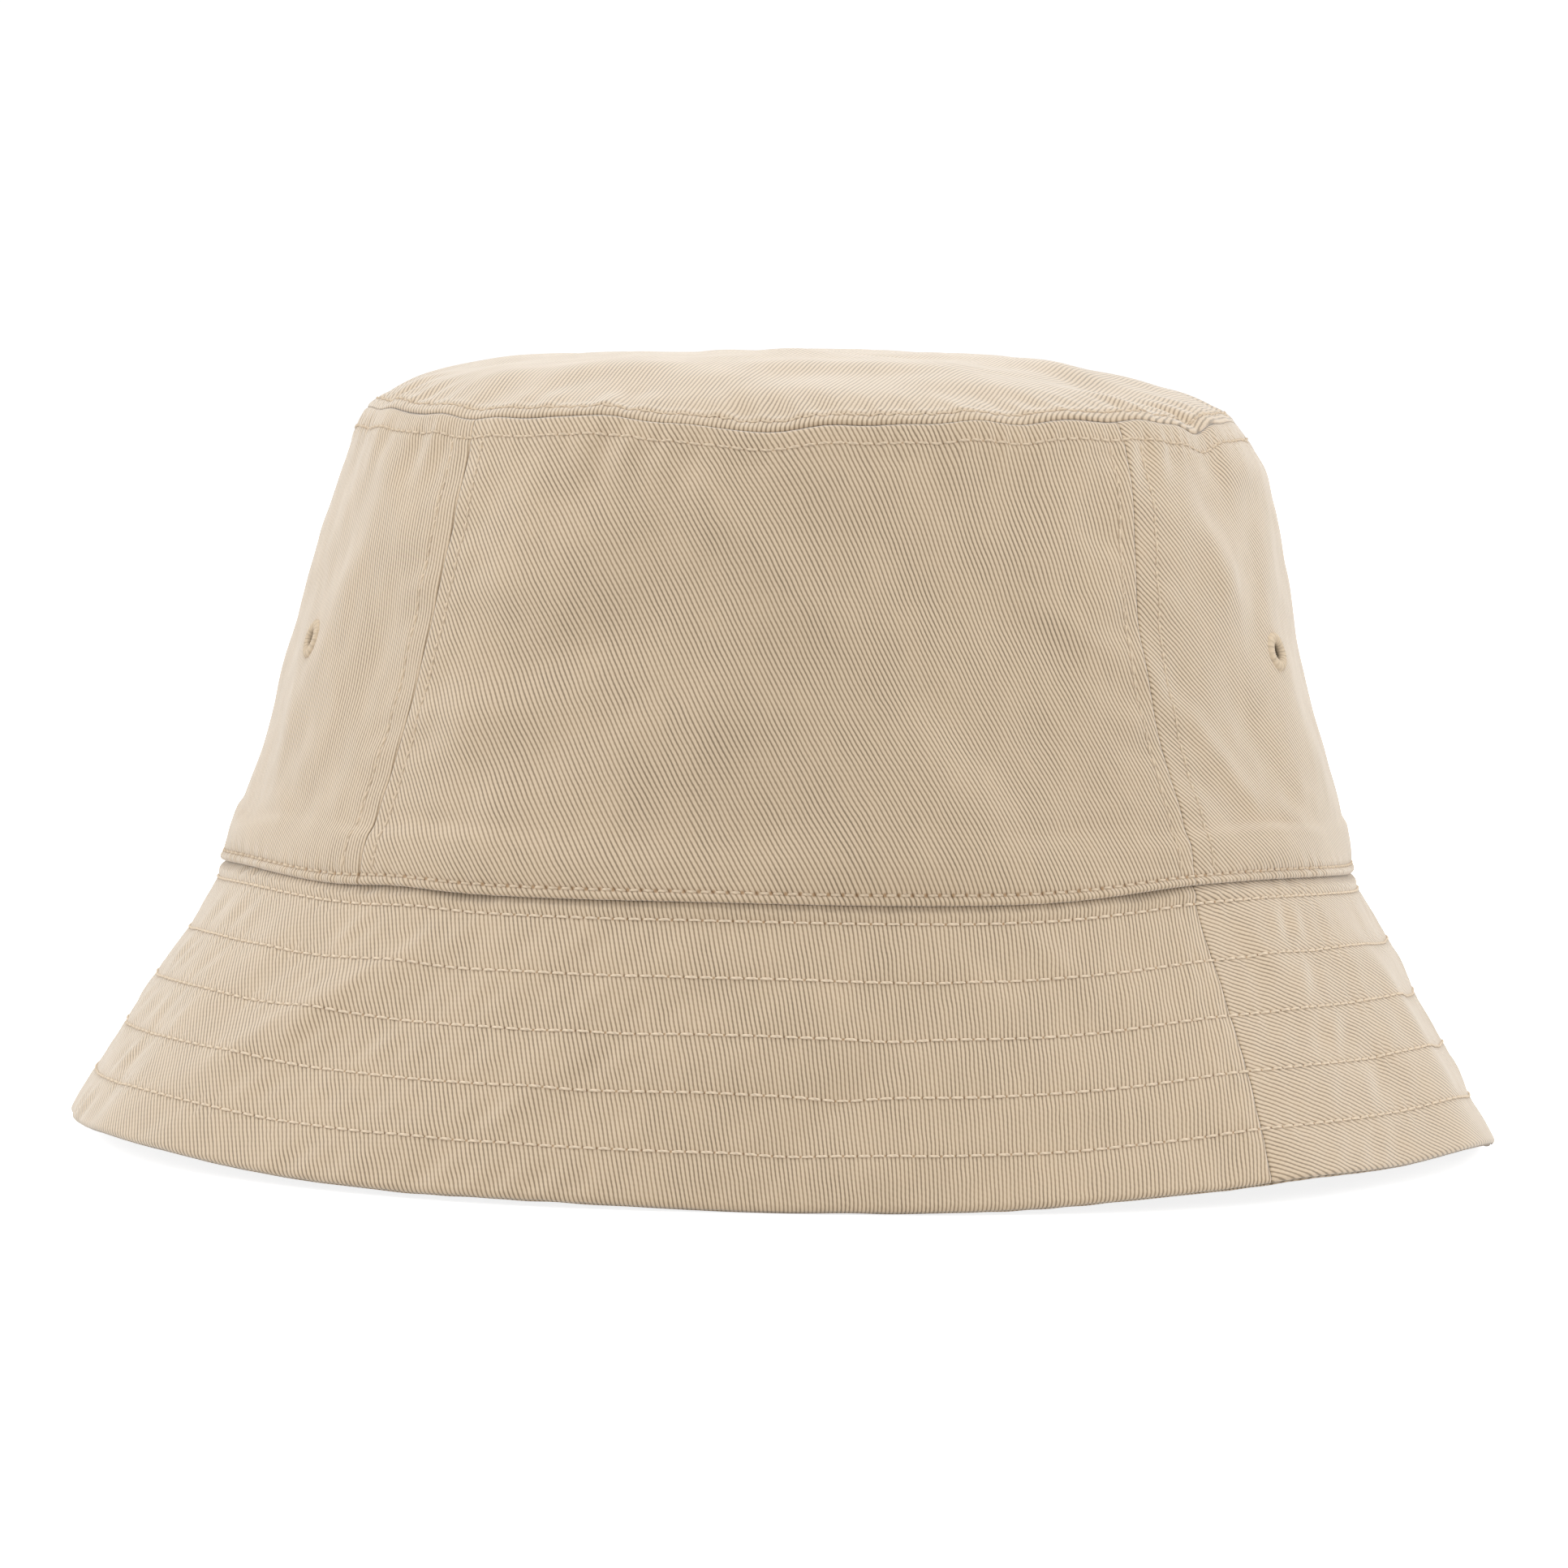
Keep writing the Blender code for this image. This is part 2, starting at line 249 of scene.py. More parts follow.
# (azimuth, reach in degrees, height) of where the crown's lower edge has ridden up
HEM_RISES = ((42, 12, 0.0017), (64, 20, 0.0024), (55, 9, 0.0006), (92, 14, 0.0008),
             (-68, 16, 0.0013), (-38, 6, 0.0006))


def fold_rise(azimuth, share, power):
    """How far the cloth has ridden up with the crown's lower edge, a share of the way from there to
    the wall's top or to the brim's rim."""
    ends = FRONT_RISE * np.cos(np.radians(azimuth)) ** 2 * (1 - share)
    return ends + bells_round(azimuth, HEM_RISES) * (1 - share) ** power


def up_wall(height):
    """The share of the way from the crown's lower edge to the top seam."""
    return (height - FOLD_Z) / (SEAM_Z - FOLD_Z)


def wall_radius(height):
    share = np.clip(up_wall(height), -0.2, 1)
    bulge = WALL_BULGE * np.sin(math.pi * np.clip(share, 0, 1) ** 3)
    return FOLD_R + (SEAM_R - FOLD_R) * share + bulge


def degrees_round(distance, height):
    """The angle that a distance round the wall takes up, near its seams and eyelets."""
    return np.degrees(distance / (wall_radius(height) * NEAR_SHAPE))


def seam_stray(azimuth, share):
    """The degrees by which the cloth is shifted round the wall, a share of the way up it."""
    total = 0 * azimuth
    for seam, strays in SEAM_STRAY.items():
        curve = np.polyfit(np.linspace(0, 1, len(strays)), strays, len(strays) - 1)
        total = total + np.polyval(curve, share) * bell(turn(azimuth, seam), 38)
    return total


# (azimuth, reach in degrees, height) of where the top seam dips or rises
TOP_SEAM_DIPS = ((62, 5, -0.0017), (13, 6, -0.0006), (-3, 7, -0.0007), (-14, 9, -0.0008), (38, 13, 0.0009))


def seam_wave(azimuth):
    """How far the top seam rises and falls on its way round."""
    waves = 0.00035 * ring_waves(azimuth, 5, 13, 24) + 0.00016 * ring_waves(azimuth, 22, 44, 25)
    return waves + bells_round(azimuth, TOP_SEAM_DIPS)


def crown_dent(azimuth, share):
    """How far the crown has sunk in on its left, a share of the way up the wall."""
    return 0.0019 * bell(turn(azimuth, -92), 50) * share**5


def wall_base(azimuth, height):
    share = np.clip(up_wall(height), 0, 1)
    shift = fold_rise(azimuth, share, 3) + seam_wave(azimuth) * bell(SEAM_Z - height, 0.012)
    radius = wall_radius(height) - crown_dent(azimuth, share)
    return oval(radius, azimuth + seam_stray(azimuth, share), height + shift)


def seam_distance(azimuth, height):
    """Distance round the wall from the nearest upright seam, positive on the side panels."""
    towards_side = [math.copysign(1, math.sin(math.radians(2 * seam))) for seam in SEAMS]
    turns = np.stack([turn(azimuth, seam) * sign for seam, sign in zip(SEAMS, towards_side)])
    nearest = np.take_along_axis(turns, np.abs(turns).argmin(axis=0)[None], axis=0)[0]
    return np.radians(nearest) * wall_radius(height) * NEAR_SHAPE


def row_distance(seam):
    """Distance from the nearer of the two rows of stitches along an upright seam."""
    return np.abs(np.abs(seam) - np.where(seam > 0, SIDE_STITCH, SEAM_STITCH))


def hem_wave(azimuth):
    """The relief that the wall's lower edge and the brim share where they meet."""
    return 0.0003 * ring_waves(azimuth, 6, 15, 26)


# The wall's unevenness, for rumples, and its soft folds, for folds_round
WALL_RUMPLES = ((0.00040, 0.055, 11), (0.00020, 0.026, 12), (0.00010, 0.013, 13), (0.00003, 0.006, 14))
WALL_FOLDS = (
    (63, 116, 8, 3.5, -70, -0.6), (-90, 75, 60, 28, 0, -2.0), (-90, 107, 55, 20, 0, -1.1),
    (92, 112, 30, 8, 0, 0.9), (92, 88, 26, 14, 0, 0.9), (92, 68, 26, 12, 0, 0.8),
    # across the front, from its upper left to its middle, and the hollows on either side
    (-7, 103.5, 16, 4.2, -42, 1.15), (-12, 96.5, 15, 4.6, -42, -0.95),
    (2, 107.5, 12, 5, -42, -0.65), (14, 96, 12, 8, -60, -0.85),
    (-24, 110, 14, 5.5, 12, -0.8), (-22, 85, 14, 5, 20, -0.9),
    (-31, 73.5, 10, 4.5, 8, 1.0), (-33, 93, 10, 4.5, -6, 0.8),
    (-31, 64, 13, 4.5, 5, -0.5), (8, 78, 20, 8, 60, -0.8),
    (-8, 70, 12, 6, 40, 0.75), (20, 70, 14, 6, -55, -0.75),
    (24, 108, 12, 6, 30, -0.6), (0, 90, 10, 5, 0, 0.55),
    # towards the front right seam and zigzagging over it
    (33, 88.5, 11, 2.6, -32, 0.4), (31, 84.5, 12, 3.6, -32, -0.25),
    (40, 100, 14, 4.5, -60, -0.45), (44, 79, 6, 2.6, -75, 0.5),
    (52, 66, 15, 2.8, -52, 0.65), (48, 61, 14, 4, -52, -0.45),
    (60, 70, 12, 4.5, -60, -0.5), (63, 55, 10, 2.6, -21, 0.65),
    (70, 107, 16, 4.5, 6, -0.7), (72, 115.5, 18, 5, 4, 0.7),
    (58, 100, 10, 4, -60, 0.65), (66, 90, 12, 5, 70, -0.6),
    # where the brim's neck ends behind the cloth
    (30, 56, 9, 1.6, 4, -0.35), (-36, 56, 11, 1.6, -2, -0.35),
    (-66, 56.5, 7, 1.8, -3, 0.35),
    # the left and the back
    (-62, 94, 14, 5, 70, 0.6), (-70, 70, 12, 5, -60, 0.5),
    (-52, 80, 14, 5, 80, -0.5), (-60, 112, 10, 5, -50, 0.45),
    (150, 90, 20, 5, 35, 0.75), (153, 84, 20, 5, 35, -0.55),
    (175, 102, 16, 4.5, -40, 0.7), (171, 96, 16, 5, -40, -0.5),
    (205, 75, 18, 5, 20, 0.65), (185, 70, 14, 5, -15, -0.5),
    (240, 85, 16, 4.5, -50, 0.7), (262, 66, 16, 5, 25, 0.6),
    (118, 72, 16, 4.5, -35, 0.7), (100, 88, 14, 5, 50, -0.55),
    (195, 110, 12, 5, 30, -0.5), (225, 62, 12, 4, -50, 0.6),
)


def wall_relief(azimuth, height, point, fine):
    above, below = height - FOLD_Z, SEAM_Z - height
    soft = rumples(point, WALL_RUMPLES) + folds_round(azimuth, wall_radius(height), height, WALL_FOLDS)
    relief = soft * ramp(above, 0.001, 0.014) * ramp(below, -0.001, 0.010) + neck_padding(azimuth, above)
    relief = relief + hem_wave(azimuth) * (1 - ramp(above, 0, 0.004))
    rows = top_seam_relief(azimuth, below, WALL_STITCH, 31) + base_row_relief(azimuth, height)
    return relief + fine * (rows + upright_seam_relief(azimuth, height))


def neck_padding(azimuth, above):
    """How far the brim's neck behind the wall pads it out, up to the neck's edge."""
    edge = 0.0088 + 0.0006 * ring_waves(azimuth, 6, 14, 21)
    softness = 0.0012 + 0.0030 * bell(turn(azimuth, 3), 26)
    padding = 0.0006 + 0.00025 * ring_waves(azimuth, 5, 16, 22)
    return padding * ramp(above, -0.001, 0.006) * (1 - ramp(above, edge - softness, edge + softness))


def base_row_relief(azimuth, height):
    """The row of stitches along the crown's lower edge pulls the cloth in, and it stands up below."""
    above = height - FOLD_Z
    groove = 0.00028 * bell(height - BASE_STITCH_Z, 0.0005)
    lip = 0.00020 * bell(above - 0.0007, 0.0007)
    puckers = 0.00010 * ring_waves(azimuth + 300 * above, 110, 190, 23) * bell(above - 0.0010, 0.0022)
    return puckers + lip - groove


def top_seam_relief(azimuth, distance, row, seed):
    """The cloth on either side of the top seam, padded by its allowance, grooved by its stitches
    and puckered."""
    padding = 0.00022 * (1 - ramp(distance, row + 0.0006, row + 0.0026))
    groove = 0.00011 * bell(distance - row, 0.0005)
    crease = 0.00038 * (1 + 0.4 * ring_waves(azimuth, 5, 14, 37)) * bell(distance, 0.00028)
    leaning = azimuth + 220 * distance
    size = 0.00013 * (1 + 0.6 * ring_waves(azimuth, 4, 13, seed + 1))
    puckers = size * ring_waves(leaning, 34, 76, seed) * ramp(distance, 0.0002, 0.0045)
    puckers = puckers * (1 - ramp(distance, 0.0045, 0.0140))
    fine_puckers = 0.00008 * ring_waves(azimuth, 120, 210, seed + 2) * bell(distance - 0.0026, 0.0020)
    return padding - groove - crease + puckers + fine_puckers


def upright_seam_relief(azimuth, height):
    seam = seam_distance(azimuth, height)
    reach = np.abs(seam)
    padding = 0.00006 * (1 - ramp(reach, 0.0050, 0.0075))
    groove = 0.00004 * bell(row_distance(seam), 0.0006)
    crease = 0.00018 * bell(reach, 0.00022)
    waves = line_waves(height + 13 * np.sign(seam), 0.0085, 41) * bell(reach - 0.0052, 0.0042)
    ends = ramp(height - FOLD_Z, 0.001, 0.008) * ramp(SEAM_Z - height, 0.001, 0.008)
    return (padding - groove - crease) * ramp(SEAM_Z - height, -0.001, 0.001) + 0.00012 * waves * ends


def dome_profile():
    """Distances along the dome's slope from its seam to its middle, with their radii and heights."""
    angle = np.linspace(math.pi / 2, 0.0001, 4000)
    radius = SEAM_R * np.sin(angle) ** (2 / 3)
    height = DOME_RISE * np.cos(angle) ** 1.6
    distance = np.concatenate([[0], np.cumsum(np.hypot(np.diff(radius), np.diff(height)))])
    return distance, radius, height


DOME_DISTANCE, DOME_RADIUS, DOME_HEIGHT = dome_profile()


def top_base(azimuth, distance):
    radius = np.interp(distance, DOME_DISTANCE, DOME_RADIUS)
    rise = np.interp(distance, DOME_DISTANCE, DOME_HEIGHT) + seam_wave(azimuth) * bell(distance, 0.012)
    share = radius / SEAM_R
    strayed = azimuth + seam_stray(azimuth, 1.0) * share**2
    return oval(radius - crown_dent(azimuth, 1.0) * share**4, strayed, SEAM_Z + rise)


TOP_RUMPLES = ((0.00030, 0.050, 51), (0.00022, 0.024, 52), (0.00010, 0.011, 53))
# Soft folds, seen from above: x, y, length, width, angle and height, in millimetres and degrees
TOP_FOLDS = (
    (60, -40, 14, 3.5, -33, -0.72),
    (50, -30, 16, 8, 55, -1.32), (60, 10, 20, 8, 80, -0.72),
    (-30, -45, 20, 7, -25, 0.6), (10, -52, 16, 6, 15, -0.54),
    (-45, 20, 25, 9, 70, 0.48), (10, 30, 30, 9, 20, 0.48),
    (0, -10, 30, 12, -35, -0.48), (-62, -10, 14, 7, 85, 0.6),
    (-26, 5, 17, 45, 0, -0.9),
)


def top_relief(azimuth, distance, point, fine):
    soft = rumples(point, TOP_RUMPLES)
    for x, y, length, width, angle, height in TOP_FOLDS:
        soft += fold(point[..., 0] - x / 1000, point[..., 1] - y / 1000, length, width, angle, height)
    seam = top_seam_relief(azimuth, distance, TOP_STITCH, 35)
    return soft * ramp(distance, 0.0, 0.012) + fine * seam


# (azimuth, reach in degrees, height) of where the rim stands above the table
RIM_RISES = ((68, 21, 0.0027), (-80, 30, 0.0024), (-1, 19, 0.0014), (98, 12, 0.0004), (-157, 15, 0.0005))


def brim_profile(share):
    """(radius, height) of the plain brim, a share of the way from the crown's fold to the rim."""
    start, drop = FOLD_R - BRIM_STEP, FOLD_Z - 0.0003
    run = RIM_R - start
    tilt = BRIM_BULGE / math.hypot(run, drop)
    early, halfway = (1 - share) ** 2, 2 * share * (1 - share)
    radius = start * early + (start + run / 2 + drop * tilt) * halfway + RIM_R * share**2
    return radius, drop * early + (drop / 2 + run * tilt) * halfway


def brim_base(azimuth, along):
    """along runs down the cloth from the crown's fold. Above it, where along is negative, is the
    brim's hidden neck."""
    share = np.clip(along / BRIM_LENGTH, 0, 1.1)
    radius, height = brim_profile(share)
    neck = np.clip(-along, 0, None)
    slope = (FOLD_R - SEAM_R) / (SEAM_Z - FOLD_Z)
    strayed = azimuth + BRIM_SEAM_STRAY * share * bell(turn(azimuth, 43), 40)
    rise = fold_rise(azimuth, np.clip(share, 0, 1), 1) + bells_round(azimuth, RIM_RISES) * share**1.3
    return oval(radius - slope * neck, strayed, height + neck + rise)


def brim_row_places():
    """Distances down the cloth of the brim's stitch rows, from the heights of the CAD's rings."""
    share = np.linspace(0, 1, 2000)
    heights = brim_profile(share)[1]
    rows = [middle_height(f"brim_stitch_{row}") for row in range(1, 6)]
    return [float(np.interp(-row, -heights, share * BRIM_LENGTH)) for row in rows]


BRIM_ROWS = brim_row_places()

# (azimuth, reach in degrees, height) of the waves of the brim's edge
BRIM_WAVES = ((45, 17, 0.0078), (70, 13, 0.0040), (-56, 21, 0.0062), (-22, 12, 0.0016),
              (92, 12, -0.0018), (118, 20, 0.0030), (165, 26, 0.0045), (-128, 28, 0.0040))
# (azimuth, reach in degrees, height) of the dents beside its front where it meets the crown
BRIM_DENTS = ((-33, 4, -0.0007), (37, 4, -0.0007))
# Its unevenness, for rumples, and its soft folds, for folds_round
BRIM_RUMPLES = ((0.00030, 0.045, 62), (0.00016, 0.022, 63), (0.00007, 0.012, 64))
BRIM_FOLDS = (
    (-45, 24, 21, 3.6, 143, 1.08), (-39.5, 29, 20, 4.8, 143, -0.65),
    (-51, 17, 14, 4.6, 143, -0.5), (24, 6, 8, 2.4, 45, 0.72),
    (20, 10, 9, 3.5, 45, -0.48), (6, 33, 17, 4.5, 132, -1.2),
    (10, 45, 12, 4, 132, 0.6), (-2, 25, 14, 5, 132, 0.55),
    (70, 30, 18, 4.5, 80, 0.72), (80, 38, 14, 4, 85, -0.6),
    (60, 36, 14, 4, 95, -0.54), (50, 12, 10, 3.5, 60, 0.48),
    (-75, 30, 18, 4.5, 100, 0.6), (-66, 40, 12, 4, 95, -0.48),
    (-20, 30, 12, 4.5, 115, 0.48), (-15, 10, 12, 4.5, 60, -0.36),
    (140, 28, 20, 5, 70, 0.78), (188, 25, 22, 5, 110, 0.84),
    (193, 22, 20, 5, 110, -0.6), (-100, 32, 16, 4.5, 65, 0.6),
    (-150, 30, 20, 5, 95, 0.78), (100, 26, 18, 4.5, 115, 0.66),
)


def brim_sway(azimuth, along, point):
    """The relief that both of the brim's layers share."""
    share = np.clip(along / BRIM_LENGTH, 0, 1.1)
    sway = 0.0006 * ring_waves(azimuth, 3, 8, 61) * share**2 + bells_round(azimuth, BRIM_WAVES) * share**1.2
    soft = rumples(point, BRIM_RUMPLES) + folds_round(azimuth, BRIM_FOLDS_R, along, BRIM_FOLDS)
    meeting = hem_wave(azimuth) * (1 - ramp(along, 0, 0.005)) + 0.00045 * bell(along - 0.0016, 0.0010)
    meeting = meeting + bells_round(azimuth, BRIM_DENTS) * bell(along, 0.003)
    return sway + soft * ramp(along, 0.0, 0.012) + meeting


def brim_quilting(azimuth, along, seed):
    """What the stitch rows do to one layer: a groove under each, and between them cloth that stands
    up and twists."""
    bounds = [-0.004, *BRIM_ROWS, BRIM_LENGTH + 0.003]
    nearest = np.min([np.abs(along - row) for row in BRIM_ROWS], axis=0)
    quilting = 0.00008 * (1 - bell(nearest, 0.0022)) - 0.00006 * bell(nearest, 0.0005)
    size = 0.00008 * (1 + 0.6 * ring_waves(azimuth, 5, 17, seed + 20))
    for band, (start, end) in enumerate(zip(bounds, bounds[1:])):
        share = np.clip((along - start) / (end - start), 0, 1)
        leaning = azimuth + 290 * (along - start)
        quilting += size * np.sin(math.pi * share) ** 2 * ring_waves(leaning, 55, 120, seed + band)
    pulled = 0.00005 * ring_waves(azimuth, 150, 260, seed + 30) * bell(nearest - 0.0012, 0.0012)
    return (quilting + pulled) * ramp(along, -0.001, 0.001)


def brim_seam_relief(azimuth):
    turns = np.min([np.abs(turn(azimuth, seam)) for seam in BRIM_SEAMS[:2]], axis=0)
    reach = np.radians(turns) * BRIM_MIDDLE_R
    padding = 0.00010 * (1 - ramp(reach, 0.0060, 0.0080))
    return padding - 0.00016 * bell(reach, 0.00020)


def brim_relief(azimuth, along, point, fine):
    relief = brim_sway(azimuth, along, point)
    return relief + fine * (brim_quilting(azimuth, along, 71) + brim_seam_relief(azimuth))


def under_relief(azimuth, along, point, fine):
    """The under layer's face, which looks the other way: its own relief counts inwards."""
    own = brim_quilting(azimuth, along, 171) + brim_seam_relief(azimuth)
    return brim_sway(azimuth, along, point) - fine * own


wall = surface(wall_base, wall_relief)
top = surface(top_base, top_relief)
brim = surface(brim_base, brim_relief, side=-1)
under = surface(brim_base, under_relief, side=-1)


# ---- Meshes

def add_object(name, data):
    added = bpy.data.objects.new(name, data)
    bpy.context.scene.collection.objects.link(added)
    return added


def mesh_object(name, points, faces, attributes):
    """A mesh whose points carry named vectors for its material."""
    mesh = bpy.data.meshes.new(name)
    mesh.from_pydata(points.reshape(-1, 3), [], faces)
    for key, values in attributes.items():
        layer = mesh.attributes.new(key, "FLOAT_VECTOR", "POINT")
        layer.data.foreach_set("vector", values.astype(np.float32).ravel())
    mesh.shade_smooth()
    mesh.validate()
    return add_object(name, mesh)


def grid_normals(grid, closed):
    padded = np.concatenate([grid[:, -1:], grid, grid[:, :1]], axis=1) if closed else grid
    around = np.gradient(padded, axis=1)
    if closed:
        around = around[:, 1:-1]
    return unit(np.cross(around, np.gradient(grid, axis=0)))


def grid_faces(rows, columns, closed, keep):
    """Corner indices of a grid's faces where keep is true, and of those faces' edges."""
    index = np.arange(rows * columns).reshape(rows, columns)
    across = np.roll(index, -1, axis=1) if closed else np.pad(index[:, 1:], ((0, 0), (0, 1)))
    quads = np.stack([index[:-1], across[:-1], across[1:], index[1:]], axis=-1)
    if not closed:
        quads = quads[:, :-1]
    edges = quads[..., [[0, 1], [1, 2], [2, 3], [3, 0]]]
    return quads[keep], edges[keep].reshape(-1, 2)


def border(edges):
    """The directed edges that no other face shares."""
    key = edges[:, 0].astype(np.int64) * (edges.max() + 1) + edges[:, 1]
    back = edges[:, 1].astype(np.int64) * (edges.max() + 1) + edges[:, 0]
    return edges[~np.isin(key, back)]


def cloth_sheet(name, grid, coordinates, thickness=CLOTH, closed=False, keep=None, stitches=None):
    """A closed sheet: the grid is its face, and its back lies a thickness behind it.

    coordinates give each point's place in the flat cloth, for the weave, and stitches its phase along
    the nearest row of stitches and its distance from it. closed joins the grid's last column to its
    first, and keep leaves out faces where it is false."""
    rows, columns = grid.shape[:2]
    if keep is None:
        keep = np.ones((rows - 1, columns if closed else columns - 1), bool)
    back = grid - grid_normals(grid, closed) * thickness
    quads, edges = grid_faces(rows, columns, closed, keep)
    rim = border(edges)
    count = rows * columns
    walls = np.stack([rim[:, 1], rim[:, 0], rim[:, 0] + count, rim[:, 1] + count], axis=-1)
    faces = np.concatenate([quads, quads[:, ::-1] + count, walls])
    points = np.concatenate([grid.reshape(-1, 3), back.reshape(-1, 3)])
    used, faces = np.unique(faces, return_inverse=True)
    attributes = {"cloth": np.tile(coordinates.reshape(-1, 3), (2, 1))[used]}
    if stitches is not None:
        attributes["stitch"] = np.tile(stitches.reshape(-1, 3), (2, 1))[used]
    return mesh_object(name, points[used], faces.reshape(-1, 4).tolist(), attributes)


def cone_coordinates(azimuth, distance, flare, centre, grain):
    """Places in the flat cloth of points on a cone, turned by grain degrees, with 1 for the pull on
    their needle holes. distance is from the cone's tip, and flare how far the cut opens per degree
    round the hat."""
    angle = np.radians(turn(azimuth, centre)) * flare - math.radians(grain)
    return vector(distance * np.sin(angle), -distance * np.cos(angle), 1.0)


def finish_piece(piece, material, node, body="hat"):
    piece.data.materials.append(material)
    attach(piece, body)
    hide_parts(node)


# ---- Stitch rows

def ring_count(radius, pitch):
    """How many stitches go round an oval."""
    return round(math.tau * radius * MEAN_SHAPE / pitch)


# How many stitches each row has
BRIM_COUNTS = [ring_count(half_size(f"brim_stitch_{row}").x, BRIM_PITCH) for row in range(1, 6)]
BASE_COUNT = ring_count(FOLD_R, STITCH_PITCH)
TOP_COUNT = ring_count(SEAM_R, STITCH_PITCH)


def stitch_field(azimuth, along, rows, counts):
    """Each point's phase along the nearest row of stitches, and its distance from it."""
    distances = np.stack([np.abs(along - row) for row in rows])
    phase = azimuth / 360 * np.array(counts)[distances.argmin(axis=0)]
    return vector(phase, distances.min(axis=0), 0.0)


def stitch_row(node, material, place, first, last, seed, rise=0.75, length=0.44):
    """Separate stitches from phase first to phase last. place gives a surface point from phases and
    lifts. Each stitch comes up out of the cloth at one needle hole and goes down at the next, length
    of a phase to either side. rise is how high its middle stands, in thread radii."""
    random = np.random.default_rng(seed)
    centres = np.arange(math.ceil(first), math.floor(last) + 1)[:, None]
    share = np.array([-1, -0.86, -0.5, 0, 0.5, 0.86, 1])
    phase = centres + share * length + random.normal(0, 0.012, centres.shape)
    lift = THREAD * (rise - 1.9 * share**6) * np.ones_like(phase)
    line = place(phase, lift)
    above = unit(place(phase, lift + 0.0001) - line)
    forward = unit(np.gradient(line, axis=1))
    side = unit(np.cross(forward, above))
    above = unit(np.cross(side, forward))
    radius = THREAD * (1 - 0.55 * np.abs(share) ** 5) * (1 + random.normal(0, 0.05, centres.shape))
    angles = np.arange(6) * math.tau / 6
    wide = 1.12 * np.cos(angles)[:, None] * side[:, :, None]
    high = 0.85 * np.sin(angles)[:, None] * above[:, :, None]
    rings = line[:, :, None] + radius[..., None, None] * (wide + high)
    index = np.arange(rings[..., 0].size).reshape(rings.shape[:3])
    ahead = np.roll(index, -1, axis=2)
    tubes = np.stack([index[:, :-1], ahead[:, :-1], ahead[:, 1:], index[:, 1:]], axis=-1)
    caps = np.concatenate([index[:, 0, ::-1], index[:, -1]])
    local = vector(phase[..., None] * STITCH_PITCH, angles / math.tau, 0.0)
    faces = tubes.reshape(-1, 4).tolist() + caps.tolist()
    piece = mesh_object(node.replace("stitch", "stitching"), rings, faces, {"cloth": local})
    finish_piece(piece, material, node)


def ring_row(node, material, sheet, along, count, seed, **shape):
    """A row of count stitches round one of the surfaces."""
    def place(phase, lift):
        return sheet(phase * 360 / count, along + 0 * phase, lift)
    stitch_row(node, material, place, 0, count - 1, seed, **shape)


def make_crown_stitches(thread):
    ring_row("base_edge_stitch", thread, wall, BASE_STITCH_Z, BASE_COUNT, 211, rise=0.6, length=0.36)
    ring_row("top_seam_stitch_wall", thread, wall, WALL_ROW_Z, TOP_COUNT, 212, rise=0.5)
    ring_row("top_seam_stitch_crown", thread, top, TOP_STITCH, TOP_COUNT, 213, rise=0.4)


def make_brim_stitches(thread):
    for row, (along, count) in enumerate(zip(BRIM_ROWS, BRIM_COUNTS), start=1):
        ring_row(f"brim_stitch_{row}", thread, brim, along, count, 200 + row)


def make_upright_stitches(thread):
    """Two rows along each of the crown's upright seams, from above its lower edge to the top row."""
    low = (FOLD_Z + 0.0028) / STITCH_PITCH
    high = (SEAM_Z - 0.0036) / STITCH_PITCH
    for name, seam in zip(SEAM_NAMES, SEAMS):
        for row, side in enumerate((-1, 1), start=1):
            on_side_panel = side * math.sin(math.radians(2 * seam)) > 0
            offset = side * (SIDE_STITCH if on_side_panel else SEAM_STITCH)

            def place(phase, lift, seam=seam, offset=offset):
                height = phase * STITCH_PITCH
                return wall(seam + degrees_round(offset, height), height, lift)
            node = f"seam_stitch_{name}_{row}"
            stitch_row(node, thread, place, low, high, 220 + seam + row, rise=0.25)


# ---- Cloth pieces

# The wall and the brim are parts of cones. TIP is from the crown's lower edge to the cone's tip, and
# FLARE how far its cut opens in the flat per degree round the hat.
WALL_SLANT = math.hypot(SEAM_Z - FOLD_Z, FOLD_R - SEAM_R)
WALL_TIP = FOLD_R * WALL_SLANT / (FOLD_R - SEAM_R)
WALL_FLARE = FOLD_R * MEAN_SHAPE / WALL_TIP
BRIM_TIP = FOLD_R * BRIM_LENGTH / (RIM_R - FOLD_R)
BRIM_FLARE = FOLD_R * MEAN_SHAPE / BRIM_TIP


def hem_line():
    """(height, lift) down the wall's outer face, round its folded edge and up the hem inside."""
    neck_edge = FOLD_Z + 0.009
    places = (FOLD_Z, BASE_STITCH_Z, neck_edge, SEAM_Z)
    heights = graded(FOLD_Z + 0.0005, SEAM_Z - 0.00002, 0.0011, places, 0.00032, 0.006)
    roll, roll_height = np.radians(np.linspace(0, 180, 9)), 0.0004
    rolled = [(FOLD_Z + roll_height * (1 - math.sin(a)), CLOTH * (math.cos(a) - 1)) for a in roll]
    hem = [(FOLD_Z + rise, -2 * CLOTH) for rise in (0.0011, 0.0018, 0.0028, HEM)]
    return np.array([(height, 0.0) for height in heights[::-1]] + rolled + hem)


def seam_to_seam(start, end, radius, gap, coarse, rows, fine, reach):
    """Azimuths across a piece up to a gap short of its seams, closer together near its rows, which
    are given by their distances from the seams."""
    width = math.radians(end - start) * radius
    places = [place for row in rows for place in (row, width - row)]
    return start + np.degrees(graded(gap, width - gap, coarse, places, fine, reach) / radius)


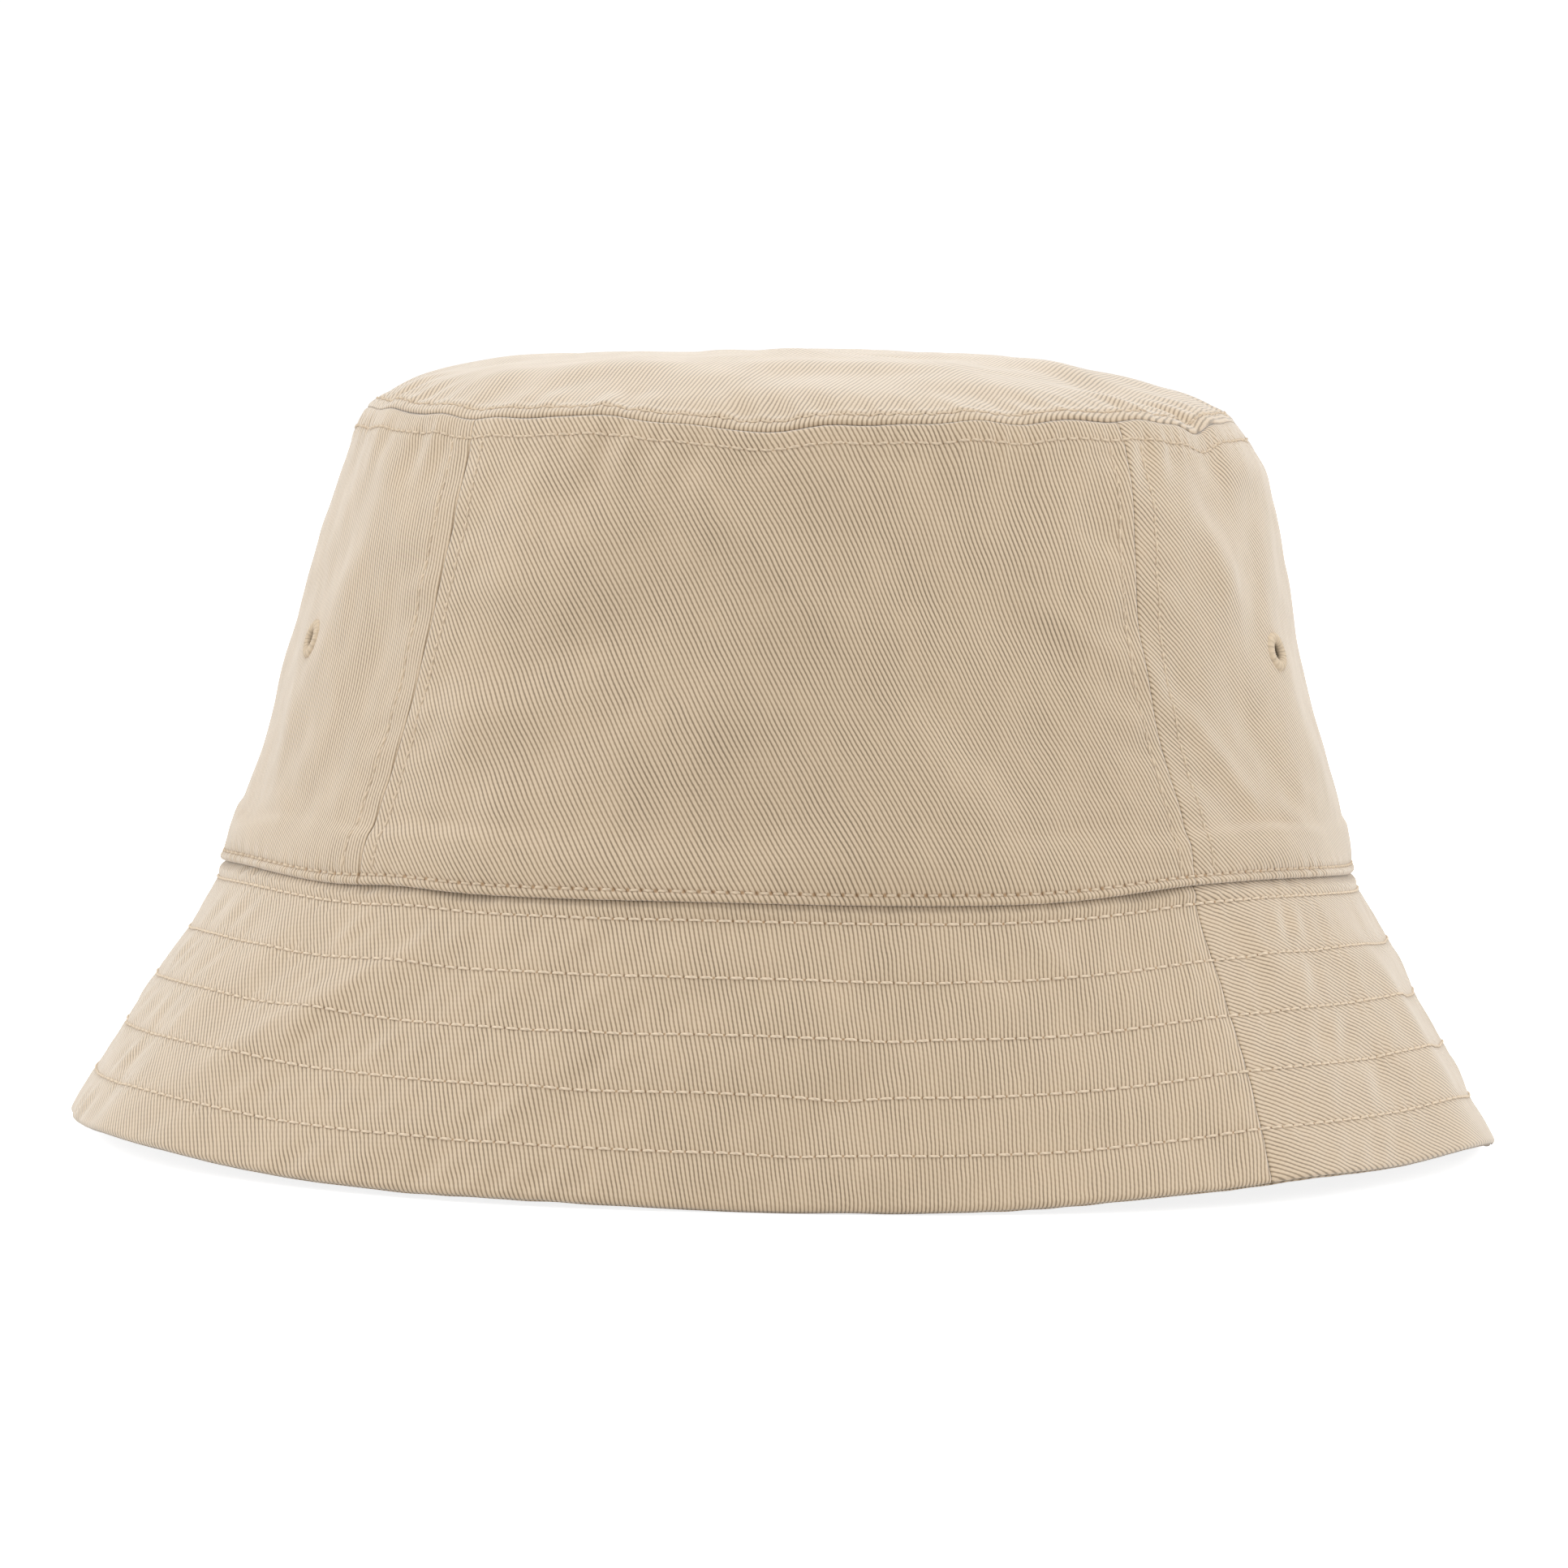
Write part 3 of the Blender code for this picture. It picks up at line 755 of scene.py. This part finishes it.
def open_eyelet_holes(grid, azimuths, heights):
    """Which faces of the panel to keep, with the points round each hole moved out to its edge."""
    radius = EYELET_R * 0.55  # it ends under the threads of the eyelet
    keep = np.ones((grid.shape[0] - 1, grid.shape[1] - 1), bool)
    for place in EYELETS.values():
        if not azimuths.min() < place < azimuths.max():
            continue
        across = np.radians(azimuths - place) * wall_radius(EYELET_Z) * NEAR_SHAPE
        across, up = np.meshgrid(across, heights - EYELET_Z)
        reach = np.hypot(across, up)
        outer = np.arange(len(heights))[:, None] < np.argmin(heights)
        face_reach = (reach[1:, 1:] + reach[:-1, :-1] + reach[1:, :-1] + reach[:-1, 1:]) / 4
        keep &= ~((face_reach < radius) & outer[:-1])
        near = (reach < radius * 1.25) & outer
        scale = np.where(near, radius * 1.05 / np.maximum(reach, 1e-6), 1)
        moved = wall(place + degrees_round(across * scale, EYELET_Z), EYELET_Z + up * scale)
        grid = np.where(near[..., None], moved, grid)
    return keep, grid


def spread(azimuths, line):
    """A grid's azimuths, places along the cloth and lifts, from its azimuths and its outline."""
    azimuth, along = np.meshgrid(azimuths, line[:, 0])
    return azimuth, along, np.broadcast_to(line[:, 1:], along.shape)


def make_wall_panels(twill):
    line = hem_line()
    seams = (SEAMS[-1] - 360, *SEAMS)
    grains = {"front": 28, "right": 34, "back": 27, "left": 17}
    for (name, grain), start, end in zip(grains.items(), seams, seams[1:]):
        rows = (0, SEAM_STITCH if name in ("front", "back") else SIDE_STITCH)
        azimuths = seam_to_seam(start, end, FOLD_R, 0.00002, 0.0011, rows, 0.00022, 0.004)[::-1]
        azimuth, height, lift = spread(azimuths, line)
        keep, grid = open_eyelet_holes(wall(azimuth, height, lift), azimuths, line[:, 0])
        slant = WALL_TIP - up_wall(height) * WALL_SLANT
        coordinates = cone_coordinates(azimuth, slant, WALL_FLARE, (start + end) / 2, grain)
        coordinates[height < FOLD_Z + BASE_ROW_REACH, 2] = HOLE_PULL
        stitches = stitch_field(azimuth, height, (BASE_STITCH_Z, WALL_ROW_Z), (BASE_COUNT, TOP_COUNT))
        piece = cloth_sheet(f"panel_{name}", grid, coordinates, keep=keep, stitches=stitches)
        finish_piece(piece, twill, f"crown_panel_{name}")


def make_top(twill):
    length = DOME_DISTANCE[-1]
    rows = graded(0.00002, length - 0.0012, 0.0016, (0, TOP_STITCH), 0.00028, 0.008)
    columns = np.arange(0, 360, 0.8 * DETAIL)
    azimuth, distance = np.meshgrid(columns, rows)
    grid = top(azimuth, distance)
    x, y = grid[..., 0], grid[..., 1]
    grain = math.radians(74)
    coordinates = vector(x * math.sin(grain) - y * math.cos(grain),
                         x * math.cos(grain) + y * math.sin(grain), 1.0)
    stitches = stitch_field(azimuth, distance, [TOP_STITCH], [TOP_COUNT])
    piece = cloth_sheet("crown_top_panel", grid, coordinates, closed=True, stitches=stitches)
    close_middle(piece, len(columns), len(rows))
    finish_piece(piece, twill, "crown_top")


def close_middle(piece, columns, rows):
    """Closes the hole in the middle of a round sheet: its wall is removed and both faces get a cap."""
    mesh = bmesh.new()
    mesh.from_mesh(piece.data)
    mesh.verts.ensure_lookup_table()
    count = columns * rows
    inner = range((rows - 1) * columns, rows * columns)
    faces = {face for index in inner for face in mesh.verts[index].link_faces
             if any(corner.index >= count for corner in face.verts)}
    bmesh.ops.delete(mesh, geom=list(faces), context="FACES_ONLY")
    mesh.verts.ensure_lookup_table()
    mesh.faces.new([mesh.verts[index] for index in inner])
    mesh.faces.new([mesh.verts[index + count] for index in reversed(inner)])
    bmesh.ops.recalc_face_normals(mesh, faces=mesh.faces)
    mesh.to_mesh(piece.data)
    mesh.free()


def brim_line():
    """(distance down the cloth, lift) of the upper layer: its hidden neck, its face and its edge,
    which is rounded down to almost the middle of the brim's thickness."""
    rounding = BRIM_LENGTH - 0.0009
    face = graded(-0.0004, rounding, 0.0011, (*BRIM_ROWS, BRIM_LENGTH), 0.00035, 0.004)
    level = [(along, 0.0) for along in (-0.0045, -0.003, -0.0015, *face)]
    edge = [(rounding + 0.00095 * math.sin(a), -BRIM_DEPTH / 2 * (1 - math.cos(a)) * 0.96)
            for a in np.radians((18, 36, 54, 72, 86))]
    return np.array(level + edge)


def make_brim(twill):
    """The upper and the under layer, two pieces each, which meet halfway through the brim's rim."""
    line = brim_line()
    for side, start, end, grain in zip(("front", "back"), BRIM_SEAMS, BRIM_SEAMS[1:], (36, 26)):
        azimuths = seam_to_seam(start, end, RIM_R, 0.00003, 0.0015, [0], 0.0003, 0.008)
        azimuth, along, lift = spread(azimuths, line)
        coordinates = cone_coordinates(azimuth, BRIM_TIP + along, BRIM_FLARE, (start + end) / 2, grain)
        stitches = stitch_field(azimuth, along, BRIM_ROWS, BRIM_COUNTS)
        grid = brim(azimuth, along, lift)[:, ::-1]
        upper = cloth_sheet(f"brim_upper_{side}", grid, coordinates[:, ::-1], stitches=stitches[:, ::-1])
        finish_piece(upper, twill, f"brim_top_{side}")
        grid = under(azimuth, along, -BRIM_DEPTH - lift)
        lower = cloth_sheet(f"brim_lower_{side}", grid, coordinates, stitches=stitches)
        finish_piece(lower, twill, f"brim_under_{side}")


def make_interlining(material):
    """The stiffening between the brim's layers, made as one closed ring."""
    first, last, thickness = 0.0015, BRIM_LENGTH - 0.003, 0.0002
    azimuth, along = np.meshgrid(np.arange(0, 360, 1.0), np.linspace(first, last, 40))
    grid = brim(azimuth, along, (thickness - BRIM_DEPTH) / 2, fine=0.0)
    coordinates = vector(np.radians(azimuth) * BRIM_MIDDLE_R, along, 0.0)
    piece = cloth_sheet("brim_stiffener", grid, coordinates, thickness=thickness, closed=True)
    finish_piece(piece, material, "brim_interlining")


def wall_strip(name, line, azimuths, material, node, closed=False):
    """A band or tape inside the wall. line gives (height, lift) from its top to its bottom edge."""
    azimuth, height, lift = spread(azimuths, line)
    grid = wall(azimuth, height, lift, fine=0.0)
    coordinates = vector(np.radians(azimuth) * FOLD_R, height, 0.0)
    piece = cloth_sheet(name, grid, coordinates, thickness=0.0004, closed=closed)
    finish_piece(piece, material, node)


def make_sweatband(material):
    """The band inside the crown's mouth."""
    heights = np.linspace(BAND_TOP, FOLD_Z + 0.0006, 44)
    edge = 0.00025 * bell(heights - BAND_TOP, 0.0012)
    # At its foot it passes in front of the neck of the brim.
    foot = 0.0009 * (1 - ramp(heights - FOLD_Z, 0.006, 0.014))
    line = np.stack([heights, BAND_DEPTH - edge - foot], axis=-1)
    wall_strip("sweatband_cloth", line, np.arange(0, 360, 0.8), material, "sweatband",
               closed=True)


def tape_line(node, steps):
    """(height, lift) down a tape, as far as it goes in CAD."""
    heights = np.linspace(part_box(node)[1].z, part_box(node)[0].z, steps)
    return np.stack([heights, np.full(steps, TAPE_DEPTH)], axis=-1)


def make_tapes(material):
    """The tapes over the seams, seen from under the hat."""
    node = "seam_tape_top"
    wall_strip("top_seam_tape", tape_line(node, 12), np.arange(0, 360, 0.9), material, node,
               closed=True)
    for name, seam in zip(SEAM_NAMES, SEAMS):
        node = f"seam_tape_{name}"
        line = tape_line(node, 60)
        wall_strip(f"upright_tape_{name}", line, seam + np.linspace(-4.1, 4.1, 14), material,
                   node)


# ---- Eyelets and label

def make_eyelets(thread):
    """Rings of close buttonhole stitches, each a small ridge over the cloth and through the hole."""
    stitches, steps, sides = 34, 7, 16
    turns = np.linspace(0, math.tau, stitches * steps, endpoint=False)
    ridge = np.abs(np.sin(turns * stitches / 2)) ** 0.6
    section = np.linspace(0, math.tau, sides, endpoint=False)
    middle, half = (EYELET_R + EYELET_HOLE) / 2, (EYELET_R - EYELET_HOLE) / 2
    height = 0.00072 + 0.00012 * ridge
    lift = -CLOTH / 2 + height[:, None] * np.sin(section)
    for number, (name, place) in enumerate(EYELETS.items()):
        random = np.random.default_rng(300 + number)
        uneven = 1 + 0.05 * random.normal(size=stitches).repeat(steps)
        out = middle + (half * uneven)[:, None] * np.cos(section)
        up = out * np.cos(turns)[:, None]
        across = out * np.sin(turns)[:, None]
        grid = wall(place + degrees_round(across, EYELET_Z), EYELET_Z + up, lift)
        index = np.arange(grid.shape[0] * sides).reshape(-1, sides)
        ahead = np.roll(index, -1, axis=0)
        quads = np.stack([np.roll(index, -1, axis=1), np.roll(ahead, -1, axis=1), ahead, index], axis=-1)
        local = vector(turns[:, None] * stitches / math.tau, out, 0.0)
        faces = quads.reshape(-1, 4).tolist()
        piece = mesh_object(f"eyelet_thread_{name}", grid, faces, {"cloth": local})
        finish_piece(piece, thread, f"eyelet_{name}")


def make_label(satin):
    """A blank woven label that hangs from its upper edge."""
    low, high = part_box("care_label")
    width, drop = high.x - low.x, high.z - low.z
    middle = (low.y + high.y) / 2
    x, share = np.meshgrid(np.linspace(low.x, high.x, 30), np.linspace(0, 1, 60))
    curl = 0.0005 * np.sin(share * 5.5) * share + 0.0009 * (x / width) ** 2 * share
    grid = vector(x, middle - 0.0002 - curl, high.z - drop * share)
    piece = cloth_sheet("blank_label", grid, vector(x, drop * share, 0.0), thickness=0.0003)
    finish_piece(piece, satin, "care_label", body="label")


# ---- Materials

BEIGE = (0.586, 0.463, 0.328)
BAND_BEIGE = tuple(0.92 * part for part in BEIGE)
RIB_GAP_SHADE_TINT = (0.92, 0.86, 0.78, 1)  # painted shade: what the cloth's colour is multiplied by between its ribs
HOLE_SHADE_TINT = (0.62, 0.50, 0.38, 1)  # painted shade: and what it is multiplied by in its needle holes
SHEEN_TINT = (1, 0.96, 0.90, 1)


class Nodes:
    """A material whose shader's inputs are fed from nodes."""

    def __init__(self, name, roughness, sheen):
        self.material = bpy.data.materials.new(name)
        self.material.use_nodes = True
        self.tree = self.material.node_tree
        self.shader = self.tree.nodes["Principled BSDF"]
        self.shader.inputs["Roughness"].default_value = roughness
        self.shader.inputs["Sheen Weight"].default_value = sheen
        self.shader.inputs["Sheen Roughness"].default_value = 0.5
        self.shader.inputs["Sheen Tint"].default_value = SHEEN_TINT
        self.shader.inputs["Specular IOR Level"].default_value = 0.25

    def add(self, kind, inputs=None, **settings):
        node = self.tree.nodes.new("ShaderNode" + kind)
        for key, value in settings.items():
            setattr(node, key, value)
        for key, value in (inputs or {}).items():
            if isinstance(value, bpy.types.NodeSocket):
                self.tree.links.new(value, node.inputs[key])
            else:
                node.inputs[key].default_value = value
        return node

    def math(self, operation, *values):
        return self.add("Math", dict(enumerate(values)), operation=operation).outputs[0]

    def times(self, first, *others):
        for other in others:
            first = self.math("MULTIPLY", first, other)
        return first

    def linear(self, value, factor, offset):
        return self.math("MULTIPLY_ADD", value, factor, offset)

    def wave(self, turns):
        """From 1 down to 0 and back, once in each turn."""
        return self.linear(self.math("COSINE", self.times(turns, math.tau)), 0.5, 0.5)

    def attribute(self, name):
        node = self.add("Attribute", attribute_name=name)
        return self.add("SeparateXYZ", {0: node.outputs["Vector"]}).outputs

    def noise(self, scale, detail=2.0, place=None):
        """Noise over the object, or over the places given."""
        if place is None:
            place = self.add("TexCoord").outputs["Object"]
        return self.add("TexNoise", {"Vector": place, "Scale": scale, "Detail": detail}).outputs["Fac"]

    def cloth_noise(self, across, along, width, length):
        """Noise of so many spots per metre across and along the cloth."""
        place = self.add("CombineXYZ", {0: self.times(across, width), 1: self.times(along, length)})
        return self.noise(1.0, place=place.outputs[0])

    def range(self, value, low, high, to_low, to_high):
        node = self.add("MapRange", {"Value": value, "From Min": low, "From Max": high,
                                     "To Min": to_low, "To Max": to_high})
        node.interpolation_type = "SMOOTHSTEP"
        return node.outputs[0]

    def vary(self, noise, spread, low=0.3):
        """A factor within spread of 1, from noise that is mostly between low and 1 - low."""
        return self.range(noise, low, 1 - low, 1 - spread, 1 + spread)

    def mix(self, share, first, second, blend="MIX"):
        inputs = {0: share, 6: first, 7: second}
        return self.add("Mix", inputs, data_type="RGBA", blend_type=blend).outputs[2]

    def dim(self, tone, colour):
        """The colour, darker where the tone is below 1."""
        return self.mix(tone, (0, 0, 0, 1), (*colour, 1))

    def finish(self, colour, height, distance):
        bump = self.add("Bump", {"Height": height, "Distance": distance, "Strength": 1.0})
        self.tree.links.new(colour, self.shader.inputs["Base Color"])
        self.tree.links.new(bump.outputs[0], self.shader.inputs["Normal"])
        return self.material


def twill_weave(nodes, across, along, pitch):
    """The height of the weave: wandering ribs, each broken into the short floats of its threads."""
    wander = nodes.times(nodes.noise(240, 1.0), 0.4)
    ribs = nodes.math("ADD", nodes.math("DIVIDE", across, pitch), wander)
    floats = nodes.math("ADD", nodes.math("DIVIDE", along, pitch * 1.3), nodes.times(ribs, 0.37))
    return nodes.times(nodes.wave(ribs), nodes.linear(nodes.wave(floats), 0.30, 0.70))


def twill_material(name, colour, pitch, contrast, stitched=True):
    """Diagonal ribs across the first cloth coordinate, which stand out more in some patches, with painted
    shade darkening the gaps between them.
    """
    nodes = Nodes(name, roughness=0.88, sheen=0.75)
    across, along, pull = nodes.attribute("cloth")
    weave = twill_weave(nodes, across, along, pitch)
    slub = nodes.cloth_noise(across, along, 1400, 160)
    fibre = nodes.noise(2600, 1.0)
    patches = nodes.times(nodes.vary(nodes.cloth_noise(across, along, 160, 90), 0.12), contrast)
    # painted shade: the tone is darker in the valleys between the ribs
    rib_shaded_tone = nodes.linear(nodes.linear(weave, 0.95, -0.42), patches, 1.0)
    mottle = nodes.vary(nodes.noise(45, 3.0), 0.025)
    tone = nodes.times(rib_shaded_tone, nodes.vary(slub, 0.07, 0.25), mottle, nodes.vary(fibre, 0.04))
    # painted shade: the colour is tinted darker and browner between the ribs
    rib_gap_shade = nodes.range(weave, 0.0, 0.6, 1.0, 0.0)
    shaded_colour = nodes.mix(rib_gap_shade, nodes.dim(tone, colour), RIB_GAP_SHADE_TINT, "MULTIPLY")
    height = nodes.math("ADD", weave, nodes.times(nodes.math("ADD", slub, fibre), 0.25))
    if stitched:
        # painted shade: the needle holes are darkened in colour, and dented by the bump
        hole = stitch_holes(nodes, pull)
        shaded_colour = nodes.mix(hole, shaded_colour, HOLE_SHADE_TINT, "MULTIPLY")
        height = nodes.math("SUBTRACT", height, nodes.times(hole, 1.5))
    return nodes.finish(shaded_colour, height, 0.00005)


def stitch_holes(nodes, pull):
    """1 in a needle hole and 0 away from it. pull is how much the holes are drawn open."""
    phase, aside = nodes.attribute("stitch")[:2]
    past = nodes.math("SUBTRACT", nodes.math("FRACT", phase), 0.5)
    along = nodes.times(past, STITCH_PITCH)
    squares = [nodes.math("POWER", distance, 2.0) for distance in (along, aside)]
    away = nodes.math("SQRT", nodes.math("ADD", *squares))
    return nodes.range(nodes.math("DIVIDE", away, pull), 0.00008, 0.00034, 1.0, 0.0)


def thread_material(name, colour, turns):
    """Twisted thread: slanting plies along the stitch, with painted shade between them."""
    nodes = Nodes(name, roughness=0.55, sheen=0.15)
    along, round_it = nodes.attribute("cloth")[:2]
    ply = nodes.wave(nodes.math("ADD", nodes.times(along, turns), nodes.times(round_it, 2.0)))
    # painted shade: the tone is darker between the plies
    tone = nodes.times(nodes.range(ply, 0, 1, 0.86, 1.04), nodes.vary(nodes.noise(900), 0.05))
    return nodes.finish(nodes.dim(tone, colour), ply, 0.00004)


def plain_weave_material(name, colour, pitch, roughness=0.85, sheen=0.15):
    """Threads over and under each other along both cloth coordinates, with painted shade where they dip."""
    nodes = Nodes(name, roughness=roughness, sheen=sheen)
    places = nodes.attribute("cloth")[:2]
    waves = [nodes.math("COSINE", nodes.times(place, math.tau / pitch)) for place in places]
    weave = nodes.linear(nodes.times(*waves), 0.5, 0.5)
    # painted shade: the tone is darker where the weave is low
    tone = nodes.times(nodes.range(weave, 0, 1, 0.9, 1.05), nodes.vary(nodes.noise(700), 0.05))
    return nodes.finish(nodes.dim(tone, colour), weave, 0.00006)


# ---- Stage

WHITE = (1, 1, 1, 1)
FLOOR_COLOUR = (0.8, 0.8, 0.8, 1)
FLOOR_HALF = 6.0
FLOOR_GLOW = 0.85
DARK_FLOOR_R = FOLD_R + 0.008  # under the hat, where the floor doesn't glow
BACKDROP_SEEN = 1.05
BACKDROP_LIGHT = 0.60
LIT_PLACE = (0, 0, 0.07)
# (name, place, width and height, power) of the lamps
LAMPS = (
    ("overhead", (0, -0.05, 1.25), (0.9, 0.9), 5.2),
    ("left", (-1.05, 0.10, 0.60), (0.6, 0.9), 5.8),
    ("right", (1.05, 0.10, 0.65), (0.6, 0.9), 5.2),
    ("fill", (0.15, -1.50, 0.60), (1.0, 0.8), 6.0),
)


def make_floor():
    """A white floor that glows up to the backdrop's brightness, but for the part inside the hat."""
    mesh = bpy.data.meshes.new("floor")
    corners = [(x * FLOOR_HALF, y * FLOOR_HALF, 0) for x, y in ((-1, -1), (1, -1), (1, 1), (-1, 1))]
    mesh.from_pydata(corners, [], [(0, 1, 2, 3)])
    nodes = Nodes("floor_white", roughness=0.9, sheen=0.0)
    shader = nodes.shader
    shader.inputs["Base Color"].default_value = FLOOR_COLOUR
    shader.inputs["Emission Color"].default_value = WHITE
    place = nodes.add("TexCoord").outputs["Object"]
    from_middle = nodes.add("VectorMath", {0: place}, operation="LENGTH").outputs["Value"]
    seen = nodes.add("LightPath").outputs["Is Camera Ray"]
    outside = nodes.math("GREATER_THAN", from_middle, DARK_FLOOR_R)
    glow = nodes.times(seen, outside, FLOOR_GLOW)
    nodes.tree.links.new(glow, shader.inputs["Emission Strength"])
    mesh.materials.append(nodes.material)
    add_object("floor", mesh)


def make_lamps():
    for name, place, size, power in LAMPS:
        light = bpy.data.lights.new(name, "AREA")
        light.shape = "RECTANGLE"
        light.size, light.size_y = size
        light.energy = power
        lamp = add_object(name, light)
        lamp.location = place
        lamp.rotation_euler = (Vector(LIT_PLACE) - Vector(place)).to_track_quat("-Z", "Y").to_euler()


def make_backdrop():
    """White to the camera, and dimmer as a light."""
    world = bpy.data.worlds.new("studio")
    bpy.context.scene.world = world
    world.use_nodes = True
    tree = world.node_tree
    background = tree.nodes["Background"]
    background.inputs["Color"].default_value = WHITE
    seen = tree.nodes.new("ShaderNodeLightPath").outputs["Is Camera Ray"]
    strength = tree.nodes.new("ShaderNodeMapRange")
    strength.inputs["To Min"].default_value = BACKDROP_LIGHT
    strength.inputs["To Max"].default_value = BACKDROP_SEEN
    tree.links.new(seen, strength.inputs["Value"])
    tree.links.new(strength.outputs[0], background.inputs["Strength"])


def make_camera():
    """A view from a little above the brim, with a lens that shows a picture's width of the hat."""
    place = (-0.00096, -1.36, 0.142)
    aim, width, roll = 0.0589, 0.2648, math.radians(0.9)
    distance, above = -place[1], place[2] - aim
    camera = bpy.data.cameras.new("camera")
    camera.lens = camera.sensor_width * math.hypot(distance, above) / width
    view = add_object("camera", camera)
    view.location = place
    view.rotation_euler = (math.pi / 2 - math.atan2(above, distance), 0, 0)
    view.rotation_euler.rotate_axis("Z", roll)
    bpy.context.scene.camera = view


def main():
    bpy.context.scene.view_settings.view_transform = "Standard"
    twill = twill_material("beige_twill", BEIGE, 0.00072, contrast=1.28)
    band = twill_material("band_twill", BAND_BEIGE, 0.00036, contrast=0.7, stitched=False)
    brim_thread = thread_material("brim_thread", (0.71, 0.58, 0.43), 900)
    crown_thread = thread_material("crown_thread", (0.63, 0.505, 0.365), 900)
    eyelet_thread = thread_material("embroidery_thread", (0.61, 0.49, 0.35), 0.5)
    tape = plain_weave_material("cotton_tape", (0.58, 0.47, 0.34), 0.0005)
    stiffener = plain_weave_material("stiffener", (0.75, 0.74, 0.70), 0.0008)
    satin = plain_weave_material("label_satin", (0.80, 0.79, 0.76), 0.00025, roughness=0.45, sheen=0.05)
    make_camera()
    make_wall_panels(twill)
    make_top(twill)
    make_brim(twill)
    make_interlining(stiffener)
    make_sweatband(band)
    make_tapes(tape)
    make_crown_stitches(crown_thread)
    make_upright_stitches(crown_thread)
    make_brim_stitches(brim_thread)
    make_eyelets(eyelet_thread)
    make_label(satin)
    make_floor()
    make_backdrop()
    make_lamps()


main()
